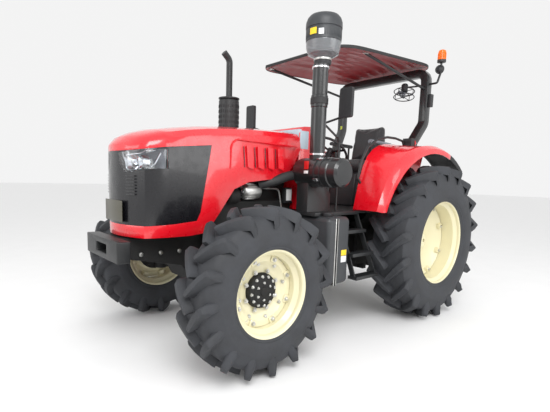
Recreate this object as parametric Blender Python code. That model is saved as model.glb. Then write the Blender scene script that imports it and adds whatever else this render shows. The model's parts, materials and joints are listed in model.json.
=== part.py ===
"""A farm tractor with four driven wheels, a roll-over frame, a canopy and an open platform.

Metres, +X forward, +Y to the tractor's left, +Z up.  The sizes are measured from a datum on
the ground below the rear axle, and the datum is set so that the whole tractor is centred on
the origin.
"""
import math

import bmesh
import bpy
from mathutils import Matrix, Vector

# Overall sizes
WHEELBASE = 2.32
FRONT_OVERHANG = 0.83          # front axle to the face of the weight bracket
REAR_OVERHANG = 1.12           # rear axle to the ends of the lower links
TRACK = 1.78                   # between the middles of the tyres, front and rear
GAP = 0.0003                   # between pieces that touch
RUNNING_GAP = 0.0008           # between faces that turn on each other
CLEARANCE = 0.006              # between pieces that move past each other

# Rear wheels
REAR_RADIUS = 0.805
REAR_TYRE_WIDTH = 0.43
REAR_BEAD_RADIUS = 0.432
REAR_RIM_WIDTH = 0.38
REAR_HUB_RADIUS = 0.0775
REAR_HUB_STAND = 0.0           # hub's outer face from the middle of the wheel

# Front wheels
FRONT_RADIUS = 0.62
FRONT_TYRE_WIDTH = 0.345
FRONT_BEAD_RADIUS = 0.305
FRONT_RIM_WIDTH = 0.305
FRONT_HUB_RADIUS = 0.13
FRONT_HUB_STAND = 0.0525
RIM_FLANGE = 0.025             # height of both rims' flanges
RIM_WALL = 0.008
REAR_FACETS = 28
FRONT_FACETS = 24

# Steering
KINGPIN_Y = 0.72
KINGPIN_RADIUS = 0.058
KNUCKLE_HALF_HEIGHT = 0.125
STEERING_ARM = 0.17
TIE_ROD_RADIUS = 0.016

# Driveline
ENGINE_FRONT = 2.36
ENGINE_REAR = 1.44
ENGINE_HALF_WIDTH = 0.25
ENGINE_TOP = 1.45
SUMP_BOTTOM = 0.52
GEARBOX_HALF_WIDTH = 0.20
GEARBOX_BOTTOM = 0.47
REAR_HOUSING_HALF_WIDTH = 0.24
REAR_HOUSING_BACK = 0.36
AXLE_TUBE_RADIUS = 0.115
SUPPORT_HALF_WIDTH = 0.17
SUPPORT_TOP = 0.955
BRACKET_HALF_WIDTH = 0.33
BRACKET_BOTTOM = 0.80
BRACKET_THICKNESS = 0.10
BRACKET_WINDOW_HALF_WIDTH = 0.11
BRACKET_WINDOW_HEIGHT = 0.07

# Bonnet
HOOD_REAR = 1.42
HOOD_NOSE = 3.045
HOOD_BOTTOM = 0.97
HOOD_HALF_WIDTH = 0.38
HOOD_WALL = 0.008
HOOD_REAR_TOP = 1.885
HINGE_Y = 0.045
HINGE_PIN_RADIUS = 0.006

# Platform
FLOOR_TOP = 1.14
FLOOR_THICKNESS = 0.03
FLOOR_HALF_WIDTH = 0.622
STEP_WIDTH = 0.10
WALL_THICKNESS = 0.008
FENDER_INNER_Y = 0.612
FENDER_OUTER_Y = 0.95
FENDER_RADIUS = 0.98
FENDER_START = 20.0            # degrees above the horizontal, at the front
FENDER_END = 108.0
EXTENSION_END = 129.0

# Operator's place
WHEEL_CENTRE_X = 0.60
WHEEL_CENTRE_Z = 1.755
STEERING_WHEEL_RADIUS = 0.20
STEERING_WHEEL_TUBE = 0.014
COLUMN_TILT = 42.0             # degrees from the vertical
SEAT_WIDTH = 0.50
SEAT_TOP = 1.66
BACKREST_TOP = 2.10

# Roll-over frame and canopy
POST_SECTION = 0.09
POST_X = -0.30
POST_Y = 0.592
POST_FOOT_Y = 0.552
FRAME_TOP = 2.705
CANOPY_FRONT = 1.18
CANOPY_REAR = -0.40
CANOPY_HALF_FRONT = 0.61
CANOPY_HALF_REAR = 0.64
CANOPY_EDGE = 0.03
CANOPY_CROWN = 0.09
CANOPY_CORNER = 0.13            # how far the corners are rounded in
UNDERSIDE_FRONT_Z = 2.625

# Exhaust and intake
EXHAUST_X = 1.65
EXHAUST_Y = -0.50
MUFFLER_RADIUS = 0.105
EXHAUST_PIPE_RADIUS = 0.0325
EXHAUST_TOP = 2.68
FILTER_X = 1.45
FILTER_Z = 1.49
FILTER_RADIUS = 0.13
INTAKE_Y = 0.586
INTAKE_RADIUS = 0.068
CLEANER_RADIUS = 0.16
CLEANER_BOTTOM = 2.41
CLEANER_TOP = 2.82

# Driver's fan
FAN_AXIS = Vector((0.2, 0.1, -1.0)).normalized()
FAN_RADIUS = 0.115
FAN_BLADE = 0.098
FAN_WIRE = 0.006
FAN_BACK = -0.022              # the guard's two hoops, along the axis
FAN_FRONT = 0.045
FAN_PITCH = 0.4                # radians

# Three-point hitch
LINK_PIVOT_X = -0.14
LINK_PIVOT_Z = 0.50
LINK_PIVOT_Y = 0.27
LINK_END_Y = 0.40
LIFT_SHAFT_X = -0.26
LIFT_SHAFT_Z = 1.03
LIFT_SHAFT_RADIUS = 0.03
LIFT_ARM = 0.40
LIFT_ROD_AT = 0.56             # lift rod's eye, along the lower link from its pivot

REAR_AXLE_X = -(WHEELBASE + FRONT_OVERHANG - REAR_OVERHANG) / 2.0
BRACKET_FACE = WHEELBASE + FRONT_OVERHANG

COLOURS = {
    "red": ((0.62, 0.02, 0.015), 0.3, 0.0),
    "dark_red": ((0.30, 0.012, 0.01), 0.5, 0.0),
    "cream": ((0.78, 0.74, 0.62), 0.4, 0.0),
    "black": ((0.02, 0.02, 0.022), 0.45, 0.0),
    "cast_black": ((0.03, 0.03, 0.032), 0.6, 0.3),
    "rubber": ((0.025, 0.025, 0.025), 0.85, 0.0),
    "grey_plastic": ((0.11, 0.11, 0.115), 0.55, 0.0),
    "steel": ((0.45, 0.45, 0.46), 0.35, 1.0),
    "clear": ((0.75, 0.78, 0.80), 0.08, 0.0),
    "amber": ((0.90, 0.32, 0.02), 0.2, 0.0),
    "cushion": ((0.03, 0.03, 0.035), 0.7, 0.0),
    "panel_grey": ((0.30, 0.36, 0.40), 0.5, 0.0),
    "white": ((0.80, 0.80, 0.78), 0.4, 0.0),
}


# ---------------------------------------------------------------- building blocks

def material(name):
    """Return the material of this name, made once."""
    found = bpy.data.materials.get(name)
    if found:
        return found
    colour, roughness, metallic = COLOURS[name]
    made = bpy.data.materials.new(name)
    made.use_nodes = True
    shader = made.node_tree.nodes["Principled BSDF"]
    shader.inputs["Base Color"].default_value = (*colour, 1.0)
    shader.inputs["Roughness"].default_value = roughness
    shader.inputs["Metallic"].default_value = metallic
    made.diffuse_color = (*colour, 1.0)
    return made


def empty(name, location, parent=None):
    """Add an empty that carries pieces."""
    made = bpy.data.objects.new(name, None)
    bpy.context.scene.collection.objects.link(made)
    made.parent = parent
    made.location = location
    return made


def solid(name, vertices, faces):
    """Add a mesh object with its faces turned outwards."""
    mesh = bpy.data.meshes.new(name)
    mesh.from_pydata([tuple(v) for v in vertices], [], faces)
    work = bmesh.new()
    work.from_mesh(mesh)
    bmesh.ops.recalc_face_normals(work, faces=work.faces)
    work.to_mesh(mesh)
    work.free()
    made = bpy.data.objects.new(name, mesh)
    bpy.context.scene.collection.objects.link(made)
    return made


def rings_to_faces(count, size, closed=False):
    """Return the faces that join rings of equal size, with caps unless the run is closed."""
    faces = []
    last = count if closed else count - 1
    for ring in range(last):
        here = ring * size
        there = ((ring + 1) % count) * size
        for step in range(size):
            after = (step + 1) % size
            faces.append((here + step, here + after, there + after, there + step))
    if not closed:
        faces.append(tuple(range(size - 1, -1, -1)))
        faces.append(tuple(range((count - 1) * size, count * size)))
    return faces


def loft(name, rings, closed=False, split=False):
    """Join rings of points into one solid; split cuts its sides into triangles."""
    vertices = [point for ring in rings for point in ring]
    faces = rings_to_faces(len(rings), len(rings[0]), closed)
    if split:
        sides = [face for face in faces if len(face) == 4]
        caps = [face for face in faces if len(face) != 4]
        faces = caps + [half for a, b, c, d in sides for half in ((a, b, c), (a, c, d))]
    return solid(name, vertices, faces)


def prism(name, outline, low, high, plane="XZ"):
    """Extrude an outline drawn in one plane along the third axis."""
    place = {
        "XZ": lambda a, b, c: (a, c, b),
        "XY": lambda a, b, c: (a, b, c),
        "YZ": lambda a, b, c: (c, a, b),
    }[plane]
    rings = [[place(a, b, end) for a, b in outline] for end in (low, high)]
    return loft(name, rings)


def box(name, low, high):
    """Add a box between two corners."""
    outline = [(low[0], low[1]), (high[0], low[1]), (high[0], high[1]), (low[0], high[1])]
    return prism(name, outline, low[2], high[2], "XY")


def turned(name, profile, centre, axis, steps, closed=False, flat_below=False):
    """Turn a profile of (radius, along) points about an axis through the centre.

    An open profile gets flat ends.  flat_below puts the middle of a facet lowest, with the
    facets and not their corners at the stated radius.
    """
    axis = Vector(axis).normalized()
    side = Vector((0.0, 0.0, 1.0)) if abs(axis.z) < 0.9 else Vector((1.0, 0.0, 0.0))
    first = (side - axis * side.dot(axis)).normalized()
    second = axis.cross(first)
    start = math.pi / steps if flat_below else 0.0
    grow = 1.0 / math.cos(math.pi / steps) if flat_below else 1.0
    rings = []
    for radius, along in profile:
        ring = []
        for step in range(steps):
            angle = start + 2.0 * math.pi * step / steps
            spoke = first * math.cos(angle) + second * math.sin(angle)
            ring.append(Vector(centre) + axis * along + spoke * (radius * grow))
        rings.append(ring)
    return loft(name, rings, closed)


def cylinder(name, centre, axis, radius, low, high, steps=24):
    """Add a cylinder along an axis."""
    return turned(name, [(radius, low), (radius, high)], centre, axis, steps)


def circle_section(radius, steps):
    """Return a round section for a swept tube."""
    return [(radius * math.cos(2 * math.pi * i / steps), radius * math.sin(2 * math.pi * i / steps))
            for i in range(steps)]


def rectangle_section(width, height):
    """Return a rectangular section for a swept bar."""
    return [(-width / 2, -height / 2), (width / 2, -height / 2),
            (width / 2, height / 2), (-width / 2, height / 2)]


def rounded(points, radius, steps=4):
    """Return a path whose corners are rounded to a radius."""
    path = [Vector(points[0])]
    for before, here, after in zip(points, points[1:], points[2:]):
        here = Vector(here)
        back = (Vector(before) - here)
        onward = (Vector(after) - here)
        angle = back.angle(onward)
        reach = min(radius / math.tan(angle / 2), 0.45 * back.length, 0.45 * onward.length)
        start = here + back.normalized() * reach
        end = here + onward.normalized() * reach
        for step in range(steps + 1):
            t = step / steps
            path.append(start * (1 - t) ** 2 + here * (2 * t * (1 - t)) + end * t ** 2)
    path.append(Vector(points[-1]))
    return path


def swept(name, path, section, up=(0.0, 0.0, 1.0), hold_up=False):
    """Sweep a section along a path, with mitred corners and flat ends.

    hold_up keeps one side of the section towards up all the way, so that it doesn't twist.
    """
    path = [Vector(point) for point in path]
    tangents = [(b - a).normalized() for a, b in zip(path, path[1:])]
    normal = Vector(up) - tangents[0] * Vector(up).dot(tangents[0])
    if normal.length < 1e-6:
        normal = Vector((1.0, 0.0, 0.0)) - tangents[0] * tangents[0].x
    normal.normalize()
    rings = []
    for index, point in enumerate(path):
        before = tangents[max(index - 1, 0)]
        after = tangents[min(index, len(tangents) - 1)]
        middle = (before + after).normalized()
        across = before.cross(normal)
        ring = []
        for a, b in section:
            offset = across * a + normal * b
            ring.append(point + offset - before * (offset.dot(middle) / before.dot(middle)))
        rings.append(ring)
        normal = before.rotation_difference(after) @ normal
        if hold_up:
            normal = (Vector(up) - after * Vector(up).dot(after)).normalized()
    return loft(name, rings)


def tube(name, points, radius, bend=0.0, sides=10):
    """Sweep a round bar through points, with its corners rounded."""
    path = rounded(points, bend) if bend else points
    return swept(name, path, circle_section(radius, sides))


def combine(base, tool, operation):
    """Apply one Boolean to an object and remove the tool."""
    modifier = base.modifiers.new(operation.title(), "BOOLEAN")
    modifier.operation = operation
    modifier.solver = "EXACT"
    modifier.object = tool
    evaluated = base.evaluated_get(bpy.context.evaluated_depsgraph_get())
    result = bpy.data.meshes.new_from_object(evaluated)
    base.modifiers.clear()
    base.data = result
    bpy.data.objects.remove(tool)
    return base


def join(base, *tools):
    """Unite solids that overlap into one."""
    for tool in tools:
        combine(base, tool, "UNION")
    return base


def cut(base, *tools):
    """Take solids away from one."""
    for tool in tools:
        combine(base, tool, "DIFFERENCE")
    return base


def copy_of(piece, name):
    """Return a copy of a piece with its own mesh."""
    made = bpy.data.objects.new(name, piece.data.copy())
    bpy.context.scene.collection.objects.link(made)
    return made


def finish(piece, name, finish_name, carrier, bevel=0.0):
    """Name a piece, give it its finish and hang it on its carrier's origin."""
    piece.name = name
    piece.data.name = name
    pivot = carrier.matrix_world.translation - DATUM.matrix_world.translation
    piece.data.transform(Matrix.Translation(-pivot))
    piece.parent = carrier
    piece.data.materials.clear()
    piece.data.materials.append(material(finish_name))
    if bevel:
        edge = piece.modifiers.new("Edge", "BEVEL")
        edge.width = bevel
        edge.segments = 1
        edge.limit_method = "ANGLE"
        edge.angle_limit = math.radians(50.0)
    piece.data.shade_smooth()
    piece.data.set_sharp_from_angle(angle=math.radians(35.0))
    return piece


# ---------------------------------------------------------------- wheels

def tyre_profile(radius, width, bead_radius, rim_width):
    """Return the closed section of a tyre, as (radius, across) points."""
    half = width / 2
    seat = rim_width / 2 - 0.015
    foot = bead_radius + GAP
    flange = bead_radius + RIM_FLANGE
    wall = radius - flange
    outer = [
        (foot, seat - GAP), (flange + 0.001, rim_width / 2 - 0.004), (flange + 0.18 * wall, half - 0.008),
        (flange + 0.45 * wall, half), (flange + 0.82 * wall, half - 0.012), (radius - 0.008, half * 0.66),
        (radius, half * 0.2),
    ]
    return outer + [(r, -across) for r, across in reversed(outer)]


def barrel_outside(bead_radius, rim_width):
    """Return the tyre side of a rim, from its outer flange to its inner one."""
    half = rim_width / 2
    seat = half - 0.015
    well = bead_radius - 0.032
    flange = bead_radius + RIM_FLANGE
    return [(flange, half), (bead_radius, seat), (well, seat * 0.5),
            (well, -seat * 0.5), (bead_radius, -seat), (flange, -half)]


def barrel_inside(outside):
    """Return the inner face of a rim's barrel, from its outer flange to its inner one."""
    flange, _, well, _, _, _ = [radius for radius, _ in outside]
    half = outside[0][1]
    shoulder = outside[2][1]
    return [(flange - RIM_WALL, half), (well - RIM_WALL, shoulder - 0.02),
            (well - RIM_WALL, 0.02 - shoulder), (flange - RIM_WALL, -half)]


def rear_wheel(side, carrier, name):
    """Build a rear tyre and its rim with a deeply set disc."""
    centre = (0.0, side * TRACK / 2, REAR_RADIUS)
    outward = (0.0, side, 0.0)
    profile = tyre_profile(REAR_RADIUS, REAR_TYRE_WIDTH, REAR_BEAD_RADIUS, REAR_RIM_WIDTH)
    tyre = turned("tyre", profile, centre, outward, REAR_FACETS, closed=True, flat_below=True)
    finish(tyre, f"rear_tyre_{name}", "rubber", carrier)
    outside = barrel_outside(REAR_BEAD_RADIUS, REAR_RIM_WIDTH)
    inside = barrel_inside(outside)
    face = REAR_HUB_STAND
    well = inside[1][0]
    front = [
        (REAR_HUB_RADIUS - 0.03, face + 0.006), (REAR_HUB_RADIUS - 0.006, face),
        (REAR_HUB_RADIUS, face - 0.012), (REAR_HUB_RADIUS, face - 0.075),
        (0.16, face - 0.092), (0.29, face - 0.085), (well, -0.015),
    ]
    back = [(well, -0.03), (0.29, face - 0.099), (0.095, face - 0.107), (0.095, face - 0.15)]
    profile = [(radius, side * along) for radius, along in front + inside[1::-1] + outside + inside[:1:-1] + back]
    rim = turned("rim", profile, centre, (0.0, 1.0, 0.0), REAR_FACETS, flat_below=True)
    finish(rim, f"rear_rim_{name}", "cream", carrier)


def front_wheel(side, carrier, name):
    """Build a front tyre, its rim with a shallow dish, and the hub in its middle."""
    centre = (WHEELBASE, side * TRACK / 2, FRONT_RADIUS)
    outward = (0.0, side, 0.0)
    profile = tyre_profile(FRONT_RADIUS, FRONT_TYRE_WIDTH, FRONT_BEAD_RADIUS, FRONT_RIM_WIDTH)
    tyre = turned("tyre", profile, centre, outward, FRONT_FACETS, closed=True, flat_below=True)
    finish(tyre, f"front_tyre_{name}", "rubber", carrier)
    outside = barrel_outside(FRONT_BEAD_RADIUS, FRONT_RIM_WIDTH)
    inside = barrel_inside(outside)
    hole = FRONT_HUB_RADIUS + GAP
    flange_face = -0.012
    disc = flange_face + GAP
    well = inside[1][0]
    front = [(hole, disc + 0.01), (0.18, disc + 0.012), (0.225, disc + 0.045), (well, 0.045)]
    back = [(well, 0.03), (0.222, disc + 0.030), (0.18, disc), (hole, disc)]
    profile = (front + inside[1::-1] + outside + inside[:1:-1] + back)[::-1]
    rim = turned("rim", profile, centre, outward, FRONT_FACETS, closed=True, flat_below=True)
    finish(rim, f"front_rim_{name}", "cream", carrier)
    face = FRONT_HUB_STAND
    back_face = knuckle_face() + RUNNING_GAP - (TRACK / 2)
    profile = [
        (0.05, face + 0.008), (0.06, face), (FRONT_HUB_RADIUS - 0.03, face - 0.004),
        (FRONT_HUB_RADIUS, face - 0.03), (FRONT_HUB_RADIUS, flange_face), (0.165, flange_face),
        (0.165, flange_face - 0.02), (0.14, flange_face - 0.022), (0.14, back_face),
    ]
    hub = turned("hub", profile, centre, outward, FRONT_FACETS, flat_below=True)
    finish(hub, f"front_hub_{name}", "cast_black", carrier)


def knuckle_face():
    """Return how far out the knuckle's wheel face stands."""
    return TRACK / 2 - 0.082


# ---------------------------------------------------------------- front axle and steering

def front_axle():
    """Build the axle beam with its differential and a boss for each kingpin."""
    height = FRONT_RADIUS
    beam = loft("beam", [
        [(WHEELBASE + dx, y, height + dz) for dx, dz in
         ((-h, -v), (h, -v), (h, v), (-h, v))]
        for y, h, v in ((-KINGPIN_Y, 0.045, 0.055), (-0.30, 0.06, 0.065), (-0.14, 0.085, 0.09),
                        (0.14, 0.085, 0.09), (0.30, 0.06, 0.065), (KINGPIN_Y, 0.045, 0.055))])
    half = KNUCKLE_HALF_HEIGHT - 0.03
    for side in (-1.0, 1.0):
        boss = cylinder("boss", (WHEELBASE, side * KINGPIN_Y, height), (0, 0, 1),
                        KINGPIN_RADIUS, -half, half)
        join(beam, boss)
    return finish(beam, "front_axle_beam", "cast_black", DATUM)


def knuckle(side, carrier, name):
    """Build the knuckle: ears over and under the boss, a wall, and the steering arm."""
    height = FRONT_RADIUS
    half = KNUCKLE_HALF_HEIGHT
    ear = 0.03 - RUNNING_GAP
    centre = Vector((WHEELBASE, side * KINGPIN_Y, height))
    face = side * knuckle_face()
    wall_from = side * (KINGPIN_Y + KINGPIN_RADIUS + 0.008)
    body = cylinder("wall", (WHEELBASE, 0.0, height), (0, 1, 0), 0.14,
                    min(wall_from, face), max(wall_from, face), 32)
    for sign in (-1.0, 1.0):
        low, high = sorted((sign * half, sign * (half - ear)))
        join(body, cylinder("ear", centre, (0, 0, 1), KINGPIN_RADIUS, low, high))
        y_low, y_high = sorted((side * KINGPIN_Y, wall_from + side * 0.01))
        link = box("link", (WHEELBASE - 0.05, y_low, height + low),
                   (WHEELBASE + 0.05, y_high, height + high))
        join(body, link)
    arm_top = height - half + ear
    arm = prism("arm", [(WHEELBASE + 0.03, side * KINGPIN_Y - 0.04),
                        (WHEELBASE - STEERING_ARM, side * KINGPIN_Y - 0.026),
                        (WHEELBASE - STEERING_ARM - 0.026, side * KINGPIN_Y),
                        (WHEELBASE - STEERING_ARM, side * KINGPIN_Y + 0.026),
                        (WHEELBASE + 0.03, side * KINGPIN_Y + 0.04)],
                arm_top - ear, arm_top - 0.004, "XY")
    join(body, arm)
    return finish(body, f"knuckle_{name}", "cast_black", carrier)


def tie_rod(carrier):
    """Build the tie rod, with an eye under each steering arm."""
    top = FRONT_RADIUS - KNUCKLE_HALF_HEIGHT - RUNNING_GAP
    x = WHEELBASE - STEERING_ARM
    rod = cylinder("rod", (x, 0.0, top - TIE_ROD_RADIUS), (0, 1, 0), TIE_ROD_RADIUS,
                   -KINGPIN_Y, KINGPIN_Y, 12)
    for side in (-1.0, 1.0):
        join(rod, cylinder("eye", (x, side * KINGPIN_Y, top), (0, 0, 1), 0.026,
                           -2 * TIE_ROD_RADIUS - 0.002, 0.0, 16))
    return finish(rod, "tie_rod", "steel", carrier)


# ---------------------------------------------------------------- engine, gearbox and frame

def front_support():
    """Build the cast support under the radiator, which carries the front axle."""
    support = prism("support", [
        (2.02, 0.80), (2.02, 0.62), (2.16, 0.56), (2.235 - GAP, 0.56), (2.235 - GAP, 0.76),
        (2.405 + GAP, 0.76), (2.405 + GAP, 0.56), (2.48, 0.56), (2.56, 0.70), (3.03, 0.80),
        (BRACKET_FACE - BRACKET_THICKNESS - GAP, 0.82),
        (BRACKET_FACE - BRACKET_THICKNESS - GAP, SUPPORT_TOP),
        (ENGINE_FRONT + GAP, SUPPORT_TOP), (ENGINE_FRONT + GAP, 0.80),
    ], -SUPPORT_HALF_WIDTH, SUPPORT_HALF_WIDTH)
    return finish(support, "front_support", "cast_black", DATUM)


def weight_bracket():
    """Build the slab at the front that weights hang on, with a window through it."""
    back = BRACKET_FACE - BRACKET_THICKNESS
    slab = box("slab", (back, -BRACKET_HALF_WIDTH, BRACKET_BOTTOM),
               (BRACKET_FACE, BRACKET_HALF_WIDTH, SUPPORT_TOP))
    middle = (BRACKET_BOTTOM + SUPPORT_TOP) / 2
    window = box("window", (back - 0.05, -BRACKET_WINDOW_HALF_WIDTH, middle - BRACKET_WINDOW_HEIGHT / 2),
                 (BRACKET_FACE + 0.05, BRACKET_WINDOW_HALF_WIDTH, middle + BRACKET_WINDOW_HEIGHT / 2))
    cut(slab, window)
    return finish(slab, "front_weight_bracket", "cast_black", DATUM, 0.006)


def engine():
    """Build the engine as one plain block with its sump."""
    block = prism("block", [
        (-ENGINE_HALF_WIDTH, 0.86), (-0.17, 0.62), (-0.15, SUMP_BOTTOM), (0.15, SUMP_BOTTOM),
        (0.17, 0.62), (ENGINE_HALF_WIDTH, 0.86), (ENGINE_HALF_WIDTH, 1.22), (0.17, 1.24),
        (0.15, ENGINE_TOP), (-0.15, ENGINE_TOP), (-0.17, 1.24), (-ENGINE_HALF_WIDTH, 1.22),
    ], ENGINE_REAR, ENGINE_FRONT, "YZ")
    hollow = box("clear", (2.02 - 0.005, -1.0, 0.4), (ENGINE_FRONT + 0.1, 1.0, 0.80 + GAP))
    cut(block, hollow)
    alternator = turned("alternator", [(0.05, -0.10), (0.068, -0.09), (0.07, 0.0), (0.06, 0.015),
                                       (0.022, 0.016), (0.022, 0.03), (0.04, 0.032), (0.04, 0.06)],
                        (2.18, ENGINE_HALF_WIDTH + 0.01, 1.27), (1, 0, 0), 20)
    join(block, alternator)
    return finish(block, "engine", "grey_plastic", DATUM)


def gearbox():
    """Build the clutch and gearbox housing between the engine and the rear housing."""
    back = REAR_HOUSING_HALF_WIDTH + 0.10
    housing = prism("housing", [
        (back + GAP, GEARBOX_BOTTOM), (1.10, GEARBOX_BOTTOM + 0.03), (1.30, SUMP_BOTTOM),
        (ENGINE_REAR - GAP, SUMP_BOTTOM), (ENGINE_REAR - GAP, 1.05), (1.22, 0.98),
        (0.95, 0.92), (back + GAP, 0.90),
    ], -GEARBOX_HALF_WIDTH, GEARBOX_HALF_WIDTH)
    under = FLOOR_TOP - FLOOR_THICKNESS - GAP
    for side in (-1.0, 1.0):
        y_low, y_high = sorted((side * (GEARBOX_HALF_WIDTH - 0.04), side * (GEARBOX_HALF_WIDTH + 0.10)))
        join(housing, box("mount", (1.10, y_low, 0.80), (1.20, y_high, under)))
    return finish(housing, "gearbox", "cast_black", DATUM)


def rear_housing():
    """Build the rear axle housing with a tube out to each wheel."""
    front = REAR_HOUSING_HALF_WIDTH + 0.10
    under = FLOOR_TOP - FLOOR_THICKNESS - GAP
    housing = prism("housing", [
        (-REAR_HOUSING_BACK, 0.52), (-0.30, 0.46), (0.20, 0.46), (front, GEARBOX_BOTTOM),
        (front, 0.96), (0.22, 1.02), (0.14, under), (-0.16, under), (-0.20, 0.96),
        (-REAR_HOUSING_BACK, 0.92),
    ], -REAR_HOUSING_HALF_WIDTH, REAR_HOUSING_HALF_WIDTH)
    end = TRACK / 2 + REAR_HUB_STAND - 0.15 - RUNNING_GAP
    tube_solid = turned("tube", [
        (0.095, -end), (0.11, -end + 0.01), (0.11, -end + 0.06), (AXLE_TUBE_RADIUS - 0.02, -end + 0.07),
        (AXLE_TUBE_RADIUS, -0.40), (0.17, -REAR_HOUSING_HALF_WIDTH - 0.02),
        (0.17, REAR_HOUSING_HALF_WIDTH + 0.02), (AXLE_TUBE_RADIUS, 0.40),
        (AXLE_TUBE_RADIUS - 0.02, end - 0.07), (0.11, end - 0.06), (0.11, end - 0.01), (0.095, end),
    ], (0.0, 0.0, REAR_RADIUS), (0, 1, 0), 20)
    join(housing, tube_solid)
    for side in (-1.0, 1.0):
        y_low, y_high = sorted((side * (REAR_HOUSING_HALF_WIDTH - 0.05), side * (LINK_PIVOT_Y - 0.022 - RUNNING_GAP)))
        boss = cylinder("boss", (LINK_PIVOT_X, 0.0, LINK_PIVOT_Z), (0, 1, 0), 0.05, y_low, y_high)
        join(housing, boss)
        y_low, y_high = sorted((side * POST_FOOT_Y - 0.06, side * POST_FOOT_Y + 0.06))
        join(housing, box("pad", (-0.19, y_low, REAR_RADIUS), (0.03, y_high, 0.93)))
    cover = prism("cover", [(-0.34, 0.90), (-0.34, 1.05), (-0.31, 1.085), (-0.19, 1.085), (-0.10, 1.00), (-0.10, 0.90)],
                  0.012 - REAR_HOUSING_HALF_WIDTH, REAR_HOUSING_HALF_WIDTH - 0.012)
    join(housing, cover)
    cut(housing, cylinder("journal", (LIFT_SHAFT_X, 0.0, LIFT_SHAFT_Z), (0, 1, 0), LIFT_SHAFT_RADIUS + GAP, -0.5, 0.5))
    stub = turned("stub", [(0.06, -0.02), (0.06, 0.02), (0.0175, 0.022), (0.0175, 0.105)],
                  (-REAR_HOUSING_BACK, 0.0, 0.66), (-1, 0, 0), 20)
    join(housing, stub, drawbar())
    return finish(housing, "rear_axle_housing", "cast_black", DATUM)


def drawbar():
    """Return the drawbar with its hanger below the rear housing."""
    bar = box("bar", (-0.98, -0.035, 0.36), (0.02, 0.035, 0.40))
    for x in (-0.28, -0.06):
        join(bar, box("hanger", (x, -0.10, 0.345), (x + 0.06, 0.10, 0.50)))
    return cut(bar, cylinder("hole", (-0.93, 0.0, 0.38), (0, 0, 1), 0.016, -0.1, 0.1, 16))


# ---------------------------------------------------------------- bonnet

def hood_top(x):
    """Return the height of the bonnet's crown line."""
    t = max(0.0, (x - HOOD_REAR) / (HOOD_NOSE - HOOD_REAR))
    return HOOD_REAR_TOP - 0.026 * t - 0.155 * t ** 3.2


def hood_half_width(x):
    """Return the bonnet's half width."""
    t = max(0.0, (x - HOOD_REAR) / (HOOD_NOSE - HOOD_REAR))
    return HOOD_HALF_WIDTH - 0.03 * (1.0 - t) ** 2 - 0.012 * t ** 4


def hood_section(x):
    """Return one cross-section of the bonnet, as points in the YZ plane from left to right."""
    top = hood_top(x)
    half = hood_half_width(x)
    side_points = [(half - 0.012, HOOD_BOTTOM - 0.1), (half - 0.012, HOOD_BOTTOM), (half, HOOD_BOTTOM + 0.2),
                   (half, top - 0.30), (half - 0.004, top - 0.16),
                   (half - 0.018, top - 0.085), (half - 0.06, top - 0.040), (half - 0.14, top - 0.020),
                   (half * 0.35, top - 0.006)]
    ring = [Vector((x, y, z)) for y, z in side_points]
    ring.append(Vector((x, 0.0, top)))
    ring.extend(Vector((x, -y, z)) for y, z in reversed(side_points))
    return ring


def nose_rings():
    """Return the sections that round the bonnet off into its bowed nose."""
    bow = 0.10
    rings = []
    for step, (back, drop) in enumerate(((0.16, 0.0), (0.075, 0.012), (0.025, 0.035), (0.0, 0.085))):
        x = HOOD_NOSE - bow - back
        ring = hood_section(x)
        top = ring[len(ring) // 2].z
        squeeze = 1.0 - 0.03 * step
        half = hood_half_width(x) * squeeze
        depth = bow * (step + 1) / 4.0
        row = []
        for point in ring:
            y = point.y * squeeze
            z = point.z - drop * max(0.0, (point.z - (top - 0.35)) / 0.35)
            row.append(Vector((x + depth * (1.0 - (y / half) ** 2), y, z)))
        rings.append(row)
    return rings, bow, half


def hood_shell(name):
    """Return the bonnet's skin, open below and behind, with its bowed front."""
    rings = [hood_section(x) for x in (HOOD_REAR, 1.65, 1.90, 2.15, 2.40, 2.60, 2.72)]
    rounding, bow, half = nose_rings()
    rings.extend(rounding)
    work = bmesh.new()
    rows = [[work.verts.new(point) for point in ring] for ring in rings]
    for row, after in zip(rows, rows[1:]):
        for i in range(len(row) - 1):
            work.faces.new((row[i], row[i + 1], after[i + 1], after[i]))
    last = rings[-1]
    count = len(last)
    across = []
    for i in range(count // 2):
        left = last[i]
        x_flat = left.x - bow * (1.0 - (left.y / half) ** 2)
        line = []
        for step in range(9):
            y = left.y * (1.0 - step / 4.0)
            line.append(work.verts.new((x_flat + bow * (1.0 - (y / half) ** 2), y, left.z)))
        across.append(line)
    for row, after in zip(across, across[1:]):
        for i in range(8):
            work.faces.new((row[i], row[i + 1], after[i + 1], after[i]))
    tip = work.verts.new(last[count // 2])
    for i in range(8):
        work.faces.new((across[-1][i], across[-1][i + 1], tip))
    bmesh.ops.remove_doubles(work, verts=work.verts, dist=0.00001)
    bmesh.ops.recalc_face_normals(work, faces=work.faces)
    mesh = bpy.data.meshes.new(name)
    work.to_mesh(mesh)
    work.free()
    sheet = bpy.data.objects.new(name, mesh)
    bpy.context.scene.collection.objects.link(sheet)
    return thicken(sheet, HOOD_WALL)


def thicken(sheet, thickness):
    """Give a sheet its wall, inwards from its outer face."""
    wall = sheet.modifiers.new("Wall", "SOLIDIFY")
    wall.thickness = thickness
    wall.offset = -1.0
    wall.use_even_offset = True
    evaluated = sheet.evaluated_get(bpy.context.evaluated_depsgraph_get())
    result = bpy.data.meshes.new_from_object(evaluated)
    sheet.modifiers.clear()
    sheet.data = result
    return sheet


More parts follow.
